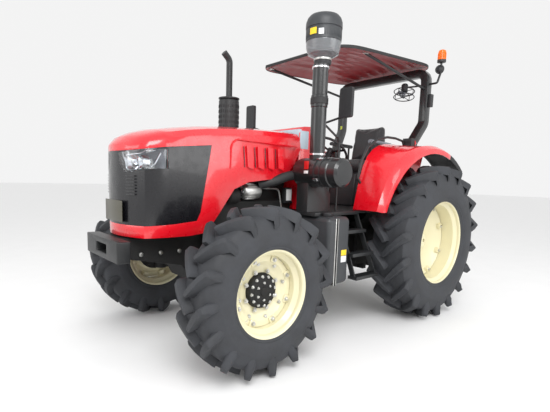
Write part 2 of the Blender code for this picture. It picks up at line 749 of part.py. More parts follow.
def outline_prism(name, outline, grow=0.0):
    """Return a prism right across the bonnet from a side-view outline, grown by a margin."""
    points = [Vector((a, b)) for a, b in outline]
    area = sum(a.x * b.y - b.x * a.y for a, b in zip(points, points[1:] + points[:1]))
    if area < 0:
        points.reverse()
    grown = []
    for before, here, after in zip(points[-1:] + points[:-1], points, points[1:] + points[:1]):
        first = (here - before).normalized()
        second = (after - here).normalized()
        out = Vector((first.y, -first.x)) + Vector((second.y, -second.x))
        grown.append(here + out * (grow / (1.0 + first.dot(second))))
    return prism(name, [(p.x, p.y) for p in grown], -1.0, 1.0)


MASK_OUTLINE = [(2.41, 1.67), (2.51, 1.15), (2.54, 1.085), (2.72, 1.068), (2.90, 1.06), (3.30, 1.055),
                (3.30, 1.580), (3.0, 1.600), (2.80, 1.630)]
ARCH_OUTLINE = [(1.0, 0.5), (3.50, 0.5), (3.50, HOOD_BOTTOM), (2.60, HOOD_BOTTOM), (2.46, 0.985), (2.42, 1.016), (2.31, 1.17),
                (2.19, 1.33), (2.04, 1.39), (1.78, 1.42), (1.57, 1.48), (1.49, 1.58), (1.41, 1.72),
                (1.0, 1.72)]


def hinge_height():
    """Return the height of the bonnet's hinge, just below its skin."""
    return HOOD_REAR_TOP - 0.008 - 0.021


def hood(carrier):
    """Build the bonnet, the mask in its nose and the headlamps, split along their seams."""
    shell = hood_shell("shell")
    cut(shell, outline_prism("arch", ARCH_OUTLINE))
    nose = copy_of(shell, "nose")
    cut(shell, outline_prism("mask_seam", MASK_OUTLINE, GAP))
    combine(nose, outline_prism("mask_area", MASK_OUTLINE), "INTERSECT")
    hinge_x = HOOD_REAR + 0.010
    for side in (-1.0, 1.0):
        y_low, y_high = sorted((side * HINGE_Y, side * (HINGE_Y + 0.03)))
        lug = cylinder("lug", (hinge_x, 0.0, hinge_height()), (0, 1, 0), 0.015, y_low, y_high, 16)
        web = box("web", (hinge_x, y_low, hinge_height() - 0.013), (hinge_x + 0.08, y_high, hinge_height() + 0.016))
        join(lug, web)
        cut(lug, cylinder("pin", (hinge_x, 0.0, hinge_height()), (0, 1, 0),
                          HINGE_PIN_RADIUS + RUNNING_GAP, -0.5, 0.5, 16))
        join(shell, lug)
    finish(shell, "hood", "red", carrier)
    for side, name in ((1.0, "left"), (-1.0, "right")):
        outline = [(0.095, 1.585), (0.45, 1.625), (0.45, 1.50), (0.30, 1.455), (0.17, 1.44), (0.105, 1.50)]
        outline = [(side * y, z) for y, z in outline]
        lamp = copy_of(nose, "lamp")
        combine(lamp, prism("area", outline, 2.775, 3.4, "YZ"), "INTERSECT")
        grown = [(side * y, z) for y, z in
                 [(0.095 - GAP, 1.585 + GAP), (0.45, 1.625 + 2 * GAP), (0.45, 1.50 - 2 * GAP),
                  (0.30, 1.455 - 2 * GAP), (0.17, 1.44 - 2 * GAP), (0.105 - GAP, 1.50 - GAP)]]
        cut(nose, prism("seam", grown, 2.775 - GAP, 3.4, "YZ"))
        finish(lamp, f"headlamp_{name}", "clear", carrier)
    finish(nose, "nose_mask", "black", carrier)
    plate_back = HOOD_NOSE + GAP
    plate = box("plate", (plate_back, -0.17, 1.075), (plate_back + 0.003, 0.17, 1.235))
    finish(plate, "number_plate", "white", carrier)


# ---------------------------------------------------------------- platform

def floor():
    """Build the platform's floor, with a step-out at each side and wings beside the engine."""
    half = [(-0.21, 0.47), (0.07, 0.47), (0.07, FLOOR_HALF_WIDTH), (0.93, FLOOR_HALF_WIDTH), (0.95, 0.70),
            (1.56, 0.70), (1.56, 0.36), (1.28, 0.36)]
    outline = half + [(x, -y) for x, y in reversed(half)]
    plate = prism("plate", outline, FLOOR_TOP - FLOOR_THICKNESS, FLOOR_TOP, "XY")
    for side in (-1.0, 1.0):
        join(plate, side_panel(side))
    return finish(plate, "platform_floor", "black", DATUM)


def fender_point(angle, part):
    """Return (radius, y) of a fender's section at an angle, for one point of the section."""
    bulge = math.exp(-((angle - 52.0) / 20.0) ** 2)
    inner = FENDER_RADIUS + 0.03 + 0.165 * bulge
    crown = FENDER_RADIUS + 0.015
    table = {
        "lip": (FENDER_RADIUS - 0.055, FENDER_OUTER_Y),
        "edge": (FENDER_RADIUS - 0.004, FENDER_OUTER_Y - 0.004),
        "shoulder": (crown + 0.008 + 0.25 * (inner - crown), FENDER_OUTER_Y - 0.05),
        "ridge": (inner - 0.006, FENDER_INNER_Y + 0.02),
        "corner": (inner - 0.03, FENDER_INNER_Y),
    }
    return table[part]


def fender(side, name):
    """Build one fender: its curved top, its outer lip and its inner wall down to the floor."""
    parts = ("lip", "edge", "shoulder", "ridge", "corner")
    last = FENDER_END + 1.0
    stations = [FENDER_START + (last - FENDER_START) * i / 16 for i in range(17)]
    floor_line = FLOOR_TOP - 0.01 - REAR_RADIUS
    rows = []
    for angle in stations:
        turn = math.radians(angle)
        row = []
        for part in parts:
            radius, y = fender_point(angle, part)
            row.append(Vector((radius * math.cos(turn), side * y, REAR_RADIUS + radius * math.sin(turn))))
        foot = min(floor_line / math.sin(turn), row and fender_point(angle, "corner")[0] - 0.02)
        row.append(Vector((foot * math.cos(turn), side * FENDER_INNER_Y, REAR_RADIUS + foot * math.sin(turn))))
        rows.append(row)
    below = box("below", (-1.5, -1.5, 0.5), (1.5, 1.5, FLOOR_TOP + GAP))
    return shell_from_rows(rows, f"fender_{name}", "red", side, wedge(FENDER_END, FENDER_END + 50.0), below)


def wedge(start, end):
    """Return a cutter that covers all between two angles about the rear axle."""
    points = [(0.0, REAR_RADIUS)]
    for angle in (start, (start + end) / 2, end):
        turn = math.radians(angle)
        points.append((2.5 * math.cos(turn), REAR_RADIUS + 2.5 * math.sin(turn)))
    return prism("wedge", points, -2.0, 2.0)


def shell_from_rows(rows, name, finish_name, side, *cutters):
    """Turn a grid of points into a thin closed shell, thickened inwards and trimmed."""
    width = len(rows[0])
    vertices = [point for row in rows for point in row]
    faces = []
    for i in range(len(rows) - 1):
        for j in range(width - 1):
            a = i * width + j
            face = (a, a + 1, a + width + 1, a + width)
            for triangle in ((face[0], face[1], face[2]), (face[0], face[2], face[3])):
                faces.append(triangle if side < 0 else triangle[::-1])
    mesh = bpy.data.meshes.new(name)
    mesh.from_pydata([tuple(v) for v in vertices], [], faces)
    sheet = bpy.data.objects.new(name, mesh)
    bpy.context.scene.collection.objects.link(sheet)
    cut(thicken(sheet, WALL_THICKNESS), *cutters)
    return finish(sheet, name, finish_name, DATUM)


def fender_extension(side, name):
    """Build the rubber extension behind a fender."""
    parts = ("lip", "edge", "shoulder", "ridge", "corner")
    rows = []
    start = FENDER_END - 1.0
    for i in range(5):
        angle = start + (EXTENSION_END - start) * i / 4
        turn = math.radians(angle)
        row = []
        for part in parts:
            radius, y = fender_point(angle, part)
            row.append(Vector((radius * math.cos(turn), side * y, REAR_RADIUS + radius * math.sin(turn))))
        rows.append(row)
    seam = FENDER_END + math.degrees(GAP / FENDER_RADIUS)
    return shell_from_rows(rows, f"fender_extension_{name}", "rubber", side, wedge(seam - 50.0, seam))


def ladder(side, name):
    """Build the steps up to the platform, with two uprights."""
    treads = ((0.84, 1.18, 0.84, 0.525), (0.89, 1.20, 0.80, 0.735), (0.94, 1.23, 0.74, 0.945))
    base = None
    for x_low, x_high, y_mid, z in treads:
        y_low, y_high = sorted((side * (y_mid - STEP_WIDTH / 2), side * (y_mid + STEP_WIDTH / 2)))
        tread = box("tread", (x_low, y_low, z), (x_high, y_high, z + 0.03))
        base = tread if base is None else base
        if base is not tread:
            tread.name = "tread"
            LOOSE.append(tread)
    for x_low, x_high in ((0.85, 0.95), (1.165, 1.215)):
        bar = swept("bar", [(x_low, side * 0.845, 0.53), (x_high, side * 0.665, FLOOR_TOP - FLOOR_THICKNESS - GAP)],
                    rectangle_section(0.014, 0.05), up=(0.0, side, 0.0))
        join(base, bar)
    while LOOSE:
        join(base, LOOSE.pop())
    ceiling = box("ceiling", (0.5, -1.2, FLOOR_TOP - FLOOR_THICKNESS - GAP), (1.5, 1.2, 1.4))
    cut(base, ceiling)
    return finish(base, f"step_{name}", "black", DATUM)


LOOSE = []


def tank(side, name, finish_name):
    """Build the box that hangs below the platform's wing."""
    y_low, y_high = sorted((side * 0.30, side * 0.85))
    shape = box("tank", (1.25, y_low, 0.51), (1.54, y_high, FLOOR_TOP - FLOOR_THICKNESS - GAP))
    return finish(shape, name, finish_name, DATUM, 0.03)


def side_panel(side):
    """Return the panel that stands on the platform's wing beside the engine."""
    y_low, y_high = sorted((side * 0.44, side * 0.58))
    panel = prism("panel", [(1.24, FLOOR_TOP - 0.01), (1.54, FLOOR_TOP - 0.01), (1.54, 1.40), (1.36, 1.40),
                            (1.24, 1.30)], y_low, y_high)
    if side > 0:
        cut(panel, cylinder("saddle", (FILTER_X, 0.0, FILTER_Z), (0, 1, 0), FILTER_RADIUS + GAP, 0.0, 1.0, 24))
    return panel


def dash():
    """Build the console in front of the driver, with the hinge pins of the bonnet."""
    console = prism("console", [
        (1.395, FLOOR_TOP + GAP), (1.395, 1.862), (1.33, 1.925), (1.25, 1.93), (1.21, 1.90),
        (1.13, 1.72), (1.02, 1.55), (0.98, 1.45), (1.02, 1.38), (1.10, FLOOR_TOP + GAP),
    ], -0.30, 0.30)
    hinge_x = HOOD_REAR + 0.010
    for side in (-1.0, 1.0):
        y_low, y_high = sorted((side * (HINGE_Y - 0.026), side * (HINGE_Y - CLEARANCE)))
        arm = cylinder("arm", (hinge_x, 0.0, hinge_height()), (0, 1, 0), 0.009, y_low, y_high, 16)
        join(arm, box("root", (1.37, y_low, hinge_height() - 0.014), (hinge_x, y_high, hinge_height() - 0.004)))
        y_low, y_high = sorted((side * (HINGE_Y - 0.02), side * (HINGE_Y + 0.034)))
        join(arm, cylinder("pin", (hinge_x, 0.0, hinge_height()), (0, 1, 0), HINGE_PIN_RADIUS, y_low, y_high, 16))
        join(console, arm)
    return finish(console, "dash_console", "red", DATUM)


def steering_column():
    """Build the column that carries the steering wheel."""
    tilt = math.radians(COLUMN_TILT)
    axis = Vector((-math.sin(tilt), 0.0, math.cos(tilt)))
    centre = Vector((WHEEL_CENTRE_X, 0.0, WHEEL_CENTRE_Z))
    column = cylinder("column", centre, axis, 0.035, -0.62, -0.05 - RUNNING_GAP, 16)
    cut(column, box("clear", (0.7, -1.0, 0.5), (1.6, 1.0, FLOOR_TOP + GAP)))
    return column, axis, centre


def steering(carrier):
    """Build the steering wheel and its column."""
    column, axis, centre = steering_column()
    console = bpy.data.objects["dash_console"]
    tool = bpy.data.objects.new("tool", console.data.copy())
    bpy.context.scene.collection.objects.link(tool)
    cut(column, tool)
    pieces = keep_largest_above(column)
    finish(pieces, "steering_column", "black", DATUM)
    rim = turned("rim", [(STEERING_WHEEL_RADIUS + STEERING_WHEEL_TUBE * math.cos(a),
                          STEERING_WHEEL_TUBE * math.sin(a))
                         for a in [2 * math.pi * i / 6 for i in range(6)]], centre, axis, 24, closed=True)
    hub = turned("hub", [(0.03, -0.05), (0.032, -0.02), (0.045, 0.0), (0.04, 0.015)], centre, axis, 16)
    across = Vector((0.0, 1.0, 0.0))
    along = axis.cross(across)
    for angle in (90.0, 210.0, 330.0):
        turn = math.radians(angle)
        out = across * math.sin(turn) + along * math.cos(turn)
        spoke = swept("spoke", [centre - axis * 0.01 + out * 0.02, centre + out * STEERING_WHEEL_RADIUS],
                      rectangle_section(0.026, 0.008), up=tuple(axis))
        join(hub, spoke)
    join(hub, rim)
    return finish(hub, "steering_wheel", "black", carrier)


def keep_largest_above(piece):
    """Keep the part of a cut solid that reaches highest."""
    work = bmesh.new()
    work.from_mesh(piece.data)
    work.verts.ensure_lookup_table()
    seen = set()
    groups = []
    for vertex in work.verts:
        if vertex in seen:
            continue
        stack = [vertex]
        group = set()
        while stack:
            here = stack.pop()
            if here in group:
                continue
            group.add(here)
            stack.extend(edge.other_vert(here) for edge in here.link_edges)
        seen |= group
        groups.append(group)
    best = max(groups, key=lambda g: max(v.co.z for v in g))
    bmesh.ops.delete(work, geom=[v for v in work.verts if v not in best], context="VERTS")
    work.to_mesh(piece.data)
    work.free()
    return piece


def seat():
    """Build the seat: its base, cushion, backrest and armrest."""
    base = prism("base", [(0.09, FLOOR_TOP + GAP), (0.40, FLOOR_TOP + GAP), (0.36, 1.50), (0.30, 1.535),
                          (0.02, 1.535), (0.02, 1.48), (0.08, 1.40)], -0.18, 0.18)
    finish(base, "seat_base", "black", DATUM, 0.01)
    half = SEAT_WIDTH / 2
    cushion = prism("cushion", [(-0.10, 1.535 + GAP), (0.36, 1.535 + GAP), (0.38, 1.60), (0.36, SEAT_TOP),
                                (0.0, SEAT_TOP - 0.02), (-0.10, SEAT_TOP - 0.02)], -half, half)
    finish(cushion, "seat_cushion", "cushion", DATUM, 0.025)
    back = prism("back", [(-0.11, SEAT_TOP - 0.02 + GAP), (-0.01, SEAT_TOP - 0.02 + GAP), (-0.075, BACKREST_TOP),
                          (-0.16, BACKREST_TOP), (-0.20, 1.80)], -half + 0.02, half - 0.02)
    finish(back, "seat_backrest", "cushion", DATUM, 0.025)


# ---------------------------------------------------------------- roll-over frame and canopy

def underside(x):
    """Return the height of the canopy's underside."""
    slope = (FRAME_TOP - UNDERSIDE_FRONT_Z) / (CANOPY_FRONT - (POST_X + POST_SECTION / 2))
    return UNDERSIDE_FRONT_Z + slope * (CANOPY_FRONT - x) + GAP


def roll_frame():
    """Build the roll-over frame from one square bar with a foot at each end."""
    top = FRAME_TOP - POST_SECTION / 2
    half = [(POST_X, 0.0, top), (POST_X, POST_Y, top), (POST_X, POST_Y, 2.10), (-0.16, POST_FOOT_Y, 1.88),
            (-0.08, POST_FOOT_Y, 1.30), (-0.08, POST_FOOT_Y, 0.93 + GAP)]
    right = [(x, -y, z) for x, y, z in reversed(half)]
    path = rounded(right[:-1] + half[1:], 0.11, 5)
    frame = swept("frame", path, rectangle_section(POST_SECTION, POST_SECTION),
                  up=(1.0, 0.0, 0.0), hold_up=True)
    return finish(frame, "roll_over_frame", "black", DATUM)


def canopy():
    """Build the canopy with a domed top and a flat, sloping underside."""
    columns = 13
    rows = 9
    top = []
    bottom = []
    for i in range(columns):
        t = i / (columns - 1)
        x = CANOPY_FRONT + (CANOPY_REAR - CANOPY_FRONT) * t
        half = CANOPY_HALF_FRONT + (CANOPY_HALF_REAR - CANOPY_HALF_FRONT) * t
        half -= CANOPY_CORNER * abs(2.0 * t - 1.0) ** 9
        line_top = []
        line_bottom = []
        for j in range(rows):
            s = -1.0 + 2.0 * j / (rows - 1)
            crown = CANOPY_CROWN * (1.0 - abs(s) ** 2.6) * (1.0 - abs(2 * t - 1) ** 3.5)
            line_top.append((x, s * half, underside(x) + CANOPY_EDGE + crown))
            line_bottom.append((x, s * half, underside(x)))
        top.append(line_top)
        bottom.append(line_bottom)
    rings = []
    for line_top, line_bottom in zip(top, bottom):
        rings.append(line_top + line_bottom[::-1])
    panel = loft("panel", rings)
    join(panel, canopy_strut(-1.0, 1.08, 2.54, 0.50))
    join(panel, canopy_strut(1.0, 0.78, 2.48, 0.545))
    return finish(panel, "canopy", "red", DATUM)


def canopy_strut(side, front_x, rear_z, front_y):
    """Return a strut from a post up to the canopy."""
    start = Vector((POST_X, side * POST_Y, rear_z))
    end = Vector((front_x, side * front_y, underside(front_x) + 0.02))
    strut = swept("strut", [start, end], circle_section(0.016, 10))
    post_face = POST_X + POST_SECTION / 2 + GAP
    return cut(strut, box("post", (POST_X - 0.5, -1.0, 2.0), (post_face, 1.0, 3.0)))


def beacon():
    """Build the beacon and the work lamp, on a bracket at the left post."""
    post = POST_Y + POST_SECTION / 2 + GAP
    foot_z = 2.53
    x = POST_X - 0.06
    y = POST_Y + 0.128
    lamp = turned("lamp", [(0.03, 2.755), (0.047, 2.76), (0.047, 2.79), (0.043, 2.865), (0.03, 2.89), (0.012, 2.895)],
                  (x, y, 0.0), (0, 0, 1), 16)
    stalk = swept("stalk", [(POST_X, post, foot_z), (POST_X, y, foot_z), (x, y, 2.65), (x, y, 2.77)],
                  circle_section(0.012, 8))
    join(lamp, stalk)
    work = turned("work", [(0.02, -0.06), (0.045, -0.03), (0.05, 0.0), (0.045, 0.006)],
                  (x - 0.02, y - 0.02, 2.69), (-1, 0, 0), 16)
    join(lamp, work)
    return finish(lamp, "beacon", "amber", DATUM)


def fan_spoke(turn):
    """Return the unit direction across the fan's axis at an angle round it."""
    first = FAN_AXIS.orthogonal().normalized()
    return first * math.cos(turn) + FAN_AXIS.cross(first) * math.sin(turn)


def fan(carrier):
    """Build the driver's fan: the motor with its guard on an arm, and the blades in the guard."""
    centre = carrier.matrix_world.translation - DATUM.matrix_world.translation
    motor = turned("motor", [(0.03, -0.11), (0.038, -0.10), (0.038, -0.02), (0.02, -0.012)], centre, FAN_AXIS, 14)
    back = centre + FAN_AXIS * FAN_BACK
    front = centre + FAN_AXIS * FAN_FRONT
    for along in (FAN_BACK, FAN_FRONT):
        hoop = turned("hoop", [(FAN_RADIUS + FAN_WIRE * math.cos(a), along + FAN_WIRE * math.sin(a))
                               for a in [2 * math.pi * i / 4 for i in range(4)]], centre, FAN_AXIS, 20, closed=True)
        join(motor, hoop)
    for index in range(4):
        out = fan_spoke(math.radians(45.0 + 90.0 * index))
        join(motor, tube("wire", [back + out * 0.02, back + out * FAN_RADIUS], 0.004, sides=6))
        join(motor, tube("wire", [back + out * FAN_RADIUS, front + out * FAN_RADIUS], 0.004, sides=6))
        join(motor, tube("wire", [front + out * FAN_RADIUS, front + out * 0.002], 0.004, sides=6))
    start = Vector((POST_X, POST_Y - POST_SECTION / 2 - GAP, 2.53))
    join(motor, tube("arm", [start, start + Vector((0.0, -0.08, 0.0)), centre - FAN_AXIS * 0.07], 0.010,
                     bend=0.03, sides=8))
    finish(motor, "fan_guard", "black", DATUM)
    rotor = cylinder("rotor", centre, FAN_AXIS, 0.016, -0.012 + RUNNING_GAP, 0.03, 12)
    for index in range(3):
        out = fan_spoke(2.0 * math.pi * index / 3)
        side = FAN_AXIS.cross(out)
        wide = side * math.cos(FAN_PITCH) + FAN_AXIS * math.sin(FAN_PITCH)
        thick = FAN_AXIS * math.cos(FAN_PITCH) - side * math.sin(FAN_PITCH)
        rings = []
        for reach, width in ((0.010, 0.008), (0.035, 0.040), (FAN_BLADE, 0.055)):
            middle = centre + FAN_AXIS * 0.01 + out * reach
            rings.append([middle + wide * (width / 2 * i) + thick * (0.002 * j)
                          for i, j in ((-1, -1), (1, -1), (1, 1), (-1, 1))])
        blade = loft("blade", rings)
        join(rotor, blade)
    return finish(rotor, "fan_blades", "grey_plastic", carrier)


# ---------------------------------------------------------------- exhaust, intake and small pieces

def exhaust():
    """Build the exhaust: an elbow from the engine, the silencer and the tail pipe."""
    x = EXHAUST_X
    y = EXHAUST_Y
    pipe = swept("pipe", rounded([(x, -ENGINE_HALF_WIDTH - GAP, 1.10), (x, y, 1.10), (x, y, EXHAUST_TOP - 0.06),
                                  (x + 0.07, y, EXHAUST_TOP)], 0.07), circle_section(EXHAUST_PIPE_RADIUS, 12))
    silencer = turned("silencer", [(0.05, 1.58), (MUFFLER_RADIUS - 0.015, 1.60), (MUFFLER_RADIUS, 1.625),
                                   (MUFFLER_RADIUS, 2.21), (MUFFLER_RADIUS - 0.015, 2.235), (0.05, 2.255)],
                      (x, y, 0.0), (0, 0, 1), 20)
    join(pipe, silencer)
    return finish(pipe, "exhaust", "cast_black", DATUM)


def air_filter():
    """Build the air filter's canister, lying across the tractor."""
    canister = turned("canister", [(0.10, 0.40), (FILTER_RADIUS - 0.006, 0.41), (FILTER_RADIUS, 0.43),
                                   (FILTER_RADIUS, 0.80), (FILTER_RADIUS - 0.008, 0.81),
                                   (FILTER_RADIUS - 0.008, 0.89), (FILTER_RADIUS - 0.03, 0.91), (0.04, 0.915)],
                      (FILTER_X, 0.0, FILTER_Z), (0, 1, 0), 24)
    pipe = turned("pipe", [(INTAKE_RADIUS, FILTER_Z), (INTAKE_RADIUS, 2.05), (INTAKE_RADIUS + 0.006, 2.055),
                           (INTAKE_RADIUS + 0.006, 2.15), (INTAKE_RADIUS, 2.155),
                           (INTAKE_RADIUS, CLEANER_BOTTOM - GAP)], (FILTER_X, INTAKE_Y, 0.0), (0, 0, 1), 20)
    join(canister, pipe)
    return finish(canister, "air_filter", "grey_plastic", DATUM)


def pre_cleaner():
    """Build the pre-cleaner on top of the intake pipe."""
    low = CLEANER_BOTTOM
    high = CLEANER_TOP
    cleaner = turned("cleaner", [
        (INTAKE_RADIUS + 0.005, low), (INTAKE_RADIUS + 0.01, low + 0.05), (CLEANER_RADIUS - 0.045, low + 0.09),
        (CLEANER_RADIUS - 0.015, low + 0.12), (CLEANER_RADIUS - 0.02, low + 0.26), (CLEANER_RADIUS, low + 0.28),
        (CLEANER_RADIUS, low + 0.33), (CLEANER_RADIUS - 0.03, high - 0.03), (0.06, high),
    ], (FILTER_X - 0.02, INTAKE_Y, 0.0), (0, 0, 1), 24)
    finish(cleaner, "pre_cleaner", "grey_plastic", DATUM)


def mirror(side, name):
    """Build a mirror: its bent arm from the platform and its head."""
    arm = tube("arm", [(1.20, side * 0.62, FLOOR_TOP + GAP), (1.20, side * 0.62, 1.80),
                       (1.24, side * 0.46, 1.95), (1.20, side * 0.66, 2.0), (1.20, side * 0.69, 2.06)],
               0.010, bend=0.03, sides=8)
    head = box("head", (1.19, side * 0.69 - 0.07, 1.98), (1.225, side * 0.69 + 0.07, 2.25))
    join(arm, head)
    return finish(arm, f"mirror_{name}", "black", DATUM)


def fender_core(side):
    """Return a solid that fills a fender up to a small gap above its outer face."""
    parts = ("lip", "edge", "shoulder", "ridge", "corner")
    rings = []
    for i in range(17):
        angle = FENDER_START + (FENDER_END + 1.0 - FENDER_START) * i / 16
        turn = math.radians(angle)
        ring = []
        points = [fender_point(angle, part) for part in parts]
        points = [(radius + GAP, y) for radius, y in points]
        points.append((0.30, FENDER_INNER_Y))
        points.append((0.30, FENDER_OUTER_Y))
        for radius, y in points:
            ring.append(Vector((radius * math.cos(turn), side * y, REAR_RADIUS + radius * math.sin(turn))))
        rings.append(ring)
    return loft("core", rings, split=True)


def grab_rail(side, name):
    """Build the rail along a fender's inner edge, with the turn lamp at its back end."""
    y = side * (FENDER_INNER_Y + 0.035)
    points = []
    for angle, lift in ((34.0, -0.03), (35.0, 0.045), (42.0, 0.065), (50.0, 0.07), (58.0, 0.07), (66.0, 0.07),
                        (73.0, 0.065), (80.0, 0.045), (81.5, -0.03)):
        radius = fender_point(angle, "ridge")[0] + lift
        turn = math.radians(angle)
        points.append((radius * math.cos(turn), y, REAR_RADIUS + radius * math.sin(turn)))
    rail = tube("rail", points, 0.0125, sides=8)
    angle = 82.0
    radius = fender_point(angle, "ridge")[0]
    turn = math.radians(angle)
    x = radius * math.cos(turn)
    z = REAR_RADIUS + radius * math.sin(turn)
    y_low, y_high = sorted((side * (FENDER_INNER_Y + 0.02), side * (FENDER_INNER_Y + 0.12)))
    join(rail, box("lamp", (x - 0.05, y_low, z - 0.06), (x + 0.02, y_high, z + 0.075)))
    cut(rail, fender_core(side))
    return finish(keep_largest_above(rail), f"grab_rail_{name}", "black", DATUM)


# ---------------------------------------------------------------- three-point hitch

def lower_link(side, carrier, name):
    """Build one lower link, from its pivot to its ball end."""
    y_start = side * LINK_PIVOT_Y
    y_end = side * LINK_END_Y
    link = swept("link", [(LINK_PIVOT_X, y_start, LINK_PIVOT_Z), (LINK_PIVOT_X - 0.25, y_start, LINK_PIVOT_Z),
                          (LINK_PIVOT_X - 0.60, y_end, LINK_PIVOT_Z), (-REAR_OVERHANG + 0.05, y_end, LINK_PIVOT_Z)],
                 rectangle_section(0.022, 0.06))
    join(link, cylinder("eye", (LINK_PIVOT_X, y_start, LINK_PIVOT_Z), (0, 1, 0), 0.042, -0.022, 0.022))
    end = box("end", (-REAR_OVERHANG, y_end - 0.022, LINK_PIVOT_Z - 0.045),
              (-REAR_OVERHANG + 0.11, y_end + 0.022, LINK_PIVOT_Z + 0.045))
    join(link, end)
    cut(link, cylinder("bore", (-REAR_OVERHANG + 0.055, y_end, LINK_PIVOT_Z), (0, 1, 0), 0.0145, -0.1, 0.1, 16))
    return finish(link, f"lower_link_{name}", "cast_black", carrier)


def lift_arms(carrier):
    """Build the lift shaft with an arm at each end."""
    y_arm = REAR_HOUSING_HALF_WIDTH + 0.05
    shaft = cylinder("shaft", (LIFT_SHAFT_X, 0.0, LIFT_SHAFT_Z), (0, 1, 0), LIFT_SHAFT_RADIUS,
                     -y_arm - 0.02, y_arm + 0.02)
    for side in (-1.0, 1.0):
        arm = swept("arm", [(LIFT_SHAFT_X, side * y_arm, LIFT_SHAFT_Z),
                            (LIFT_SHAFT_X - LIFT_ARM, side * y_arm, LIFT_SHAFT_Z)],
                    rectangle_section(0.02, 0.06))
        join(shaft, arm)
        join(shaft, cylinder("boss", (LIFT_SHAFT_X, 0.0, LIFT_SHAFT_Z), (0, 1, 0), 0.05,
                             *sorted((side * (y_arm - 0.014), side * (y_arm + 0.014)))))
    return finish(shaft, "lift_arms", "cast_black", carrier)


def lift_rod(side, carrier, name):
    """Build one lift rod, from its lift arm down to its lower link."""
    y = side * (REAR_HOUSING_HALF_WIDTH + 0.05 + 0.024)
    top = Vector((LIFT_SHAFT_X - LIFT_ARM + 0.02, y, LIFT_SHAFT_Z))
    bottom = Vector((LINK_PIVOT_X - LIFT_ROD_AT, y, LINK_PIVOT_Z + 0.04))
    rod = swept("rod", [top, bottom], circle_section(0.014, 10), up=(0, 1, 0))
    join(rod, cylinder("eye", top, (0, 1, 0), 0.025, -0.013, 0.013, 16))
    return finish(rod, f"lift_rod_{name}", "steel", carrier)


# ---------------------------------------------------------------- assembly

for item in list(bpy.data.objects):
    bpy.data.objects.remove(item)

DATUM = empty("rear_axle_datum", (REAR_AXLE_X, 0.0, 0.0))
HINGE = empty("hood_hinge", (HOOD_REAR + 0.010, 0.0, hinge_height()), DATUM)
bpy.context.view_layer.update()

TURNING = {}
for side_sign, side_name in ((1.0, "left"), (-1.0, "right")):
    TURNING[f"kingpin_{side_name}"] = empty(f"kingpin_{side_name}", (WHEELBASE, side_sign * KINGPIN_Y, FRONT_RADIUS), DATUM)
    TURNING[f"front_{side_name}"] = empty(f"front_wheel_axis_{side_name}", (0.0, side_sign * (TRACK / 2 - KINGPIN_Y), 0.0),
                                          TURNING[f"kingpin_{side_name}"])
    TURNING[f"rear_{side_name}"] = empty(f"rear_wheel_axis_{side_name}", (0.0, side_sign * TRACK / 2, REAR_RADIUS), DATUM)
TIE = empty("tie_rod_pin", (WHEELBASE - STEERING_ARM, KINGPIN_Y, FRONT_RADIUS - KNUCKLE_HALF_HEIGHT), DATUM)
COLUMN = empty("steering_wheel_axis", (WHEEL_CENTRE_X, 0.0, WHEEL_CENTRE_Z), DATUM)
FAN = empty("fan_axis", (POST_X + 0.05, 0.35, 2.46), DATUM)
LINKS = empty("lower_link_pivot", (LINK_PIVOT_X, 0.0, LINK_PIVOT_Z), DATUM)
SHAFT = empty("lift_shaft_axis", (LIFT_SHAFT_X, 0.0, LIFT_SHAFT_Z), DATUM)
RODS = empty("lift_rod_pin", (LIFT_SHAFT_X - LIFT_ARM + 0.02, 0.0, LIFT_SHAFT_Z), DATUM)
bpy.context.view_layer.update()

front_support()
weight_bracket()
engine()
gearbox()
rear_housing()
front_axle()
tie_rod(TIE)
hood(HINGE)
floor()
dash()
steering(COLUMN)
seat()
roll_frame()
canopy()
beacon()
fan(FAN)
exhaust()
air_filter()
pre_cleaner()
lift_arms(SHAFT)
tank(1.0, "fuel_tank", "grey_plastic")
tank(-1.0, "battery_box", "grey_plastic")
for side_sign, side_name in ((1.0, "left"), (-1.0, "right")):
    knuckle(side_sign, TURNING[f"kingpin_{side_name}"], side_name)
    front_wheel(side_sign, TURNING[f"front_{side_name}"], side_name)
    rear_wheel(side_sign, TURNING[f"rear_{side_name}"], side_name)
    fender(side_sign, side_name)
    fender_extension(side_sign, side_name)
    ladder(side_sign, side_name)
    mirror(side_sign, side_name)
    grab_rail(side_sign, side_name)
    lower_link(side_sign, LINKS, side_name)
    lift_rod(side_sign, RODS, side_name)
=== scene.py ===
"""Looks of a farm tractor: its finishes, its fine shapes and a plain studio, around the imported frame."""

from __future__ import annotations

import json
import logging
import math
import sys
from collections.abc import Iterable, Sequence
from dataclasses import dataclass
from enum import Enum

import bmesh
import bpy
from mathutils import Matrix, Vector


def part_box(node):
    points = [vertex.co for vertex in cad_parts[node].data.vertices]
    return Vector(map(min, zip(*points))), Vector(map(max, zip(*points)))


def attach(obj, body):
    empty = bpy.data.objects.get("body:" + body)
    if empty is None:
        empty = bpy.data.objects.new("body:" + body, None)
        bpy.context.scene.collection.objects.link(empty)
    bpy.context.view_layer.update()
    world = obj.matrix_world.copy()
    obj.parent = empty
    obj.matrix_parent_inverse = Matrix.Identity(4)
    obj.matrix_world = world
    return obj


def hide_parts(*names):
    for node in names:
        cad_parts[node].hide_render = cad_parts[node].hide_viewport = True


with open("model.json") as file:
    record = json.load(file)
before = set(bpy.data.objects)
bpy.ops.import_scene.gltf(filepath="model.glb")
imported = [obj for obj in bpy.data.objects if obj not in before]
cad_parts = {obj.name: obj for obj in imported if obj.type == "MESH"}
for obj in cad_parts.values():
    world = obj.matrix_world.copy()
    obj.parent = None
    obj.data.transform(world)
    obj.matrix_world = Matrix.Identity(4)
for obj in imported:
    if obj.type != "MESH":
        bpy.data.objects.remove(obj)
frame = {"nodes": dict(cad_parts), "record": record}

LOG = logging.getLogger("tractor")
Point = tuple[float, float, float]
Pair = tuple[float, float]
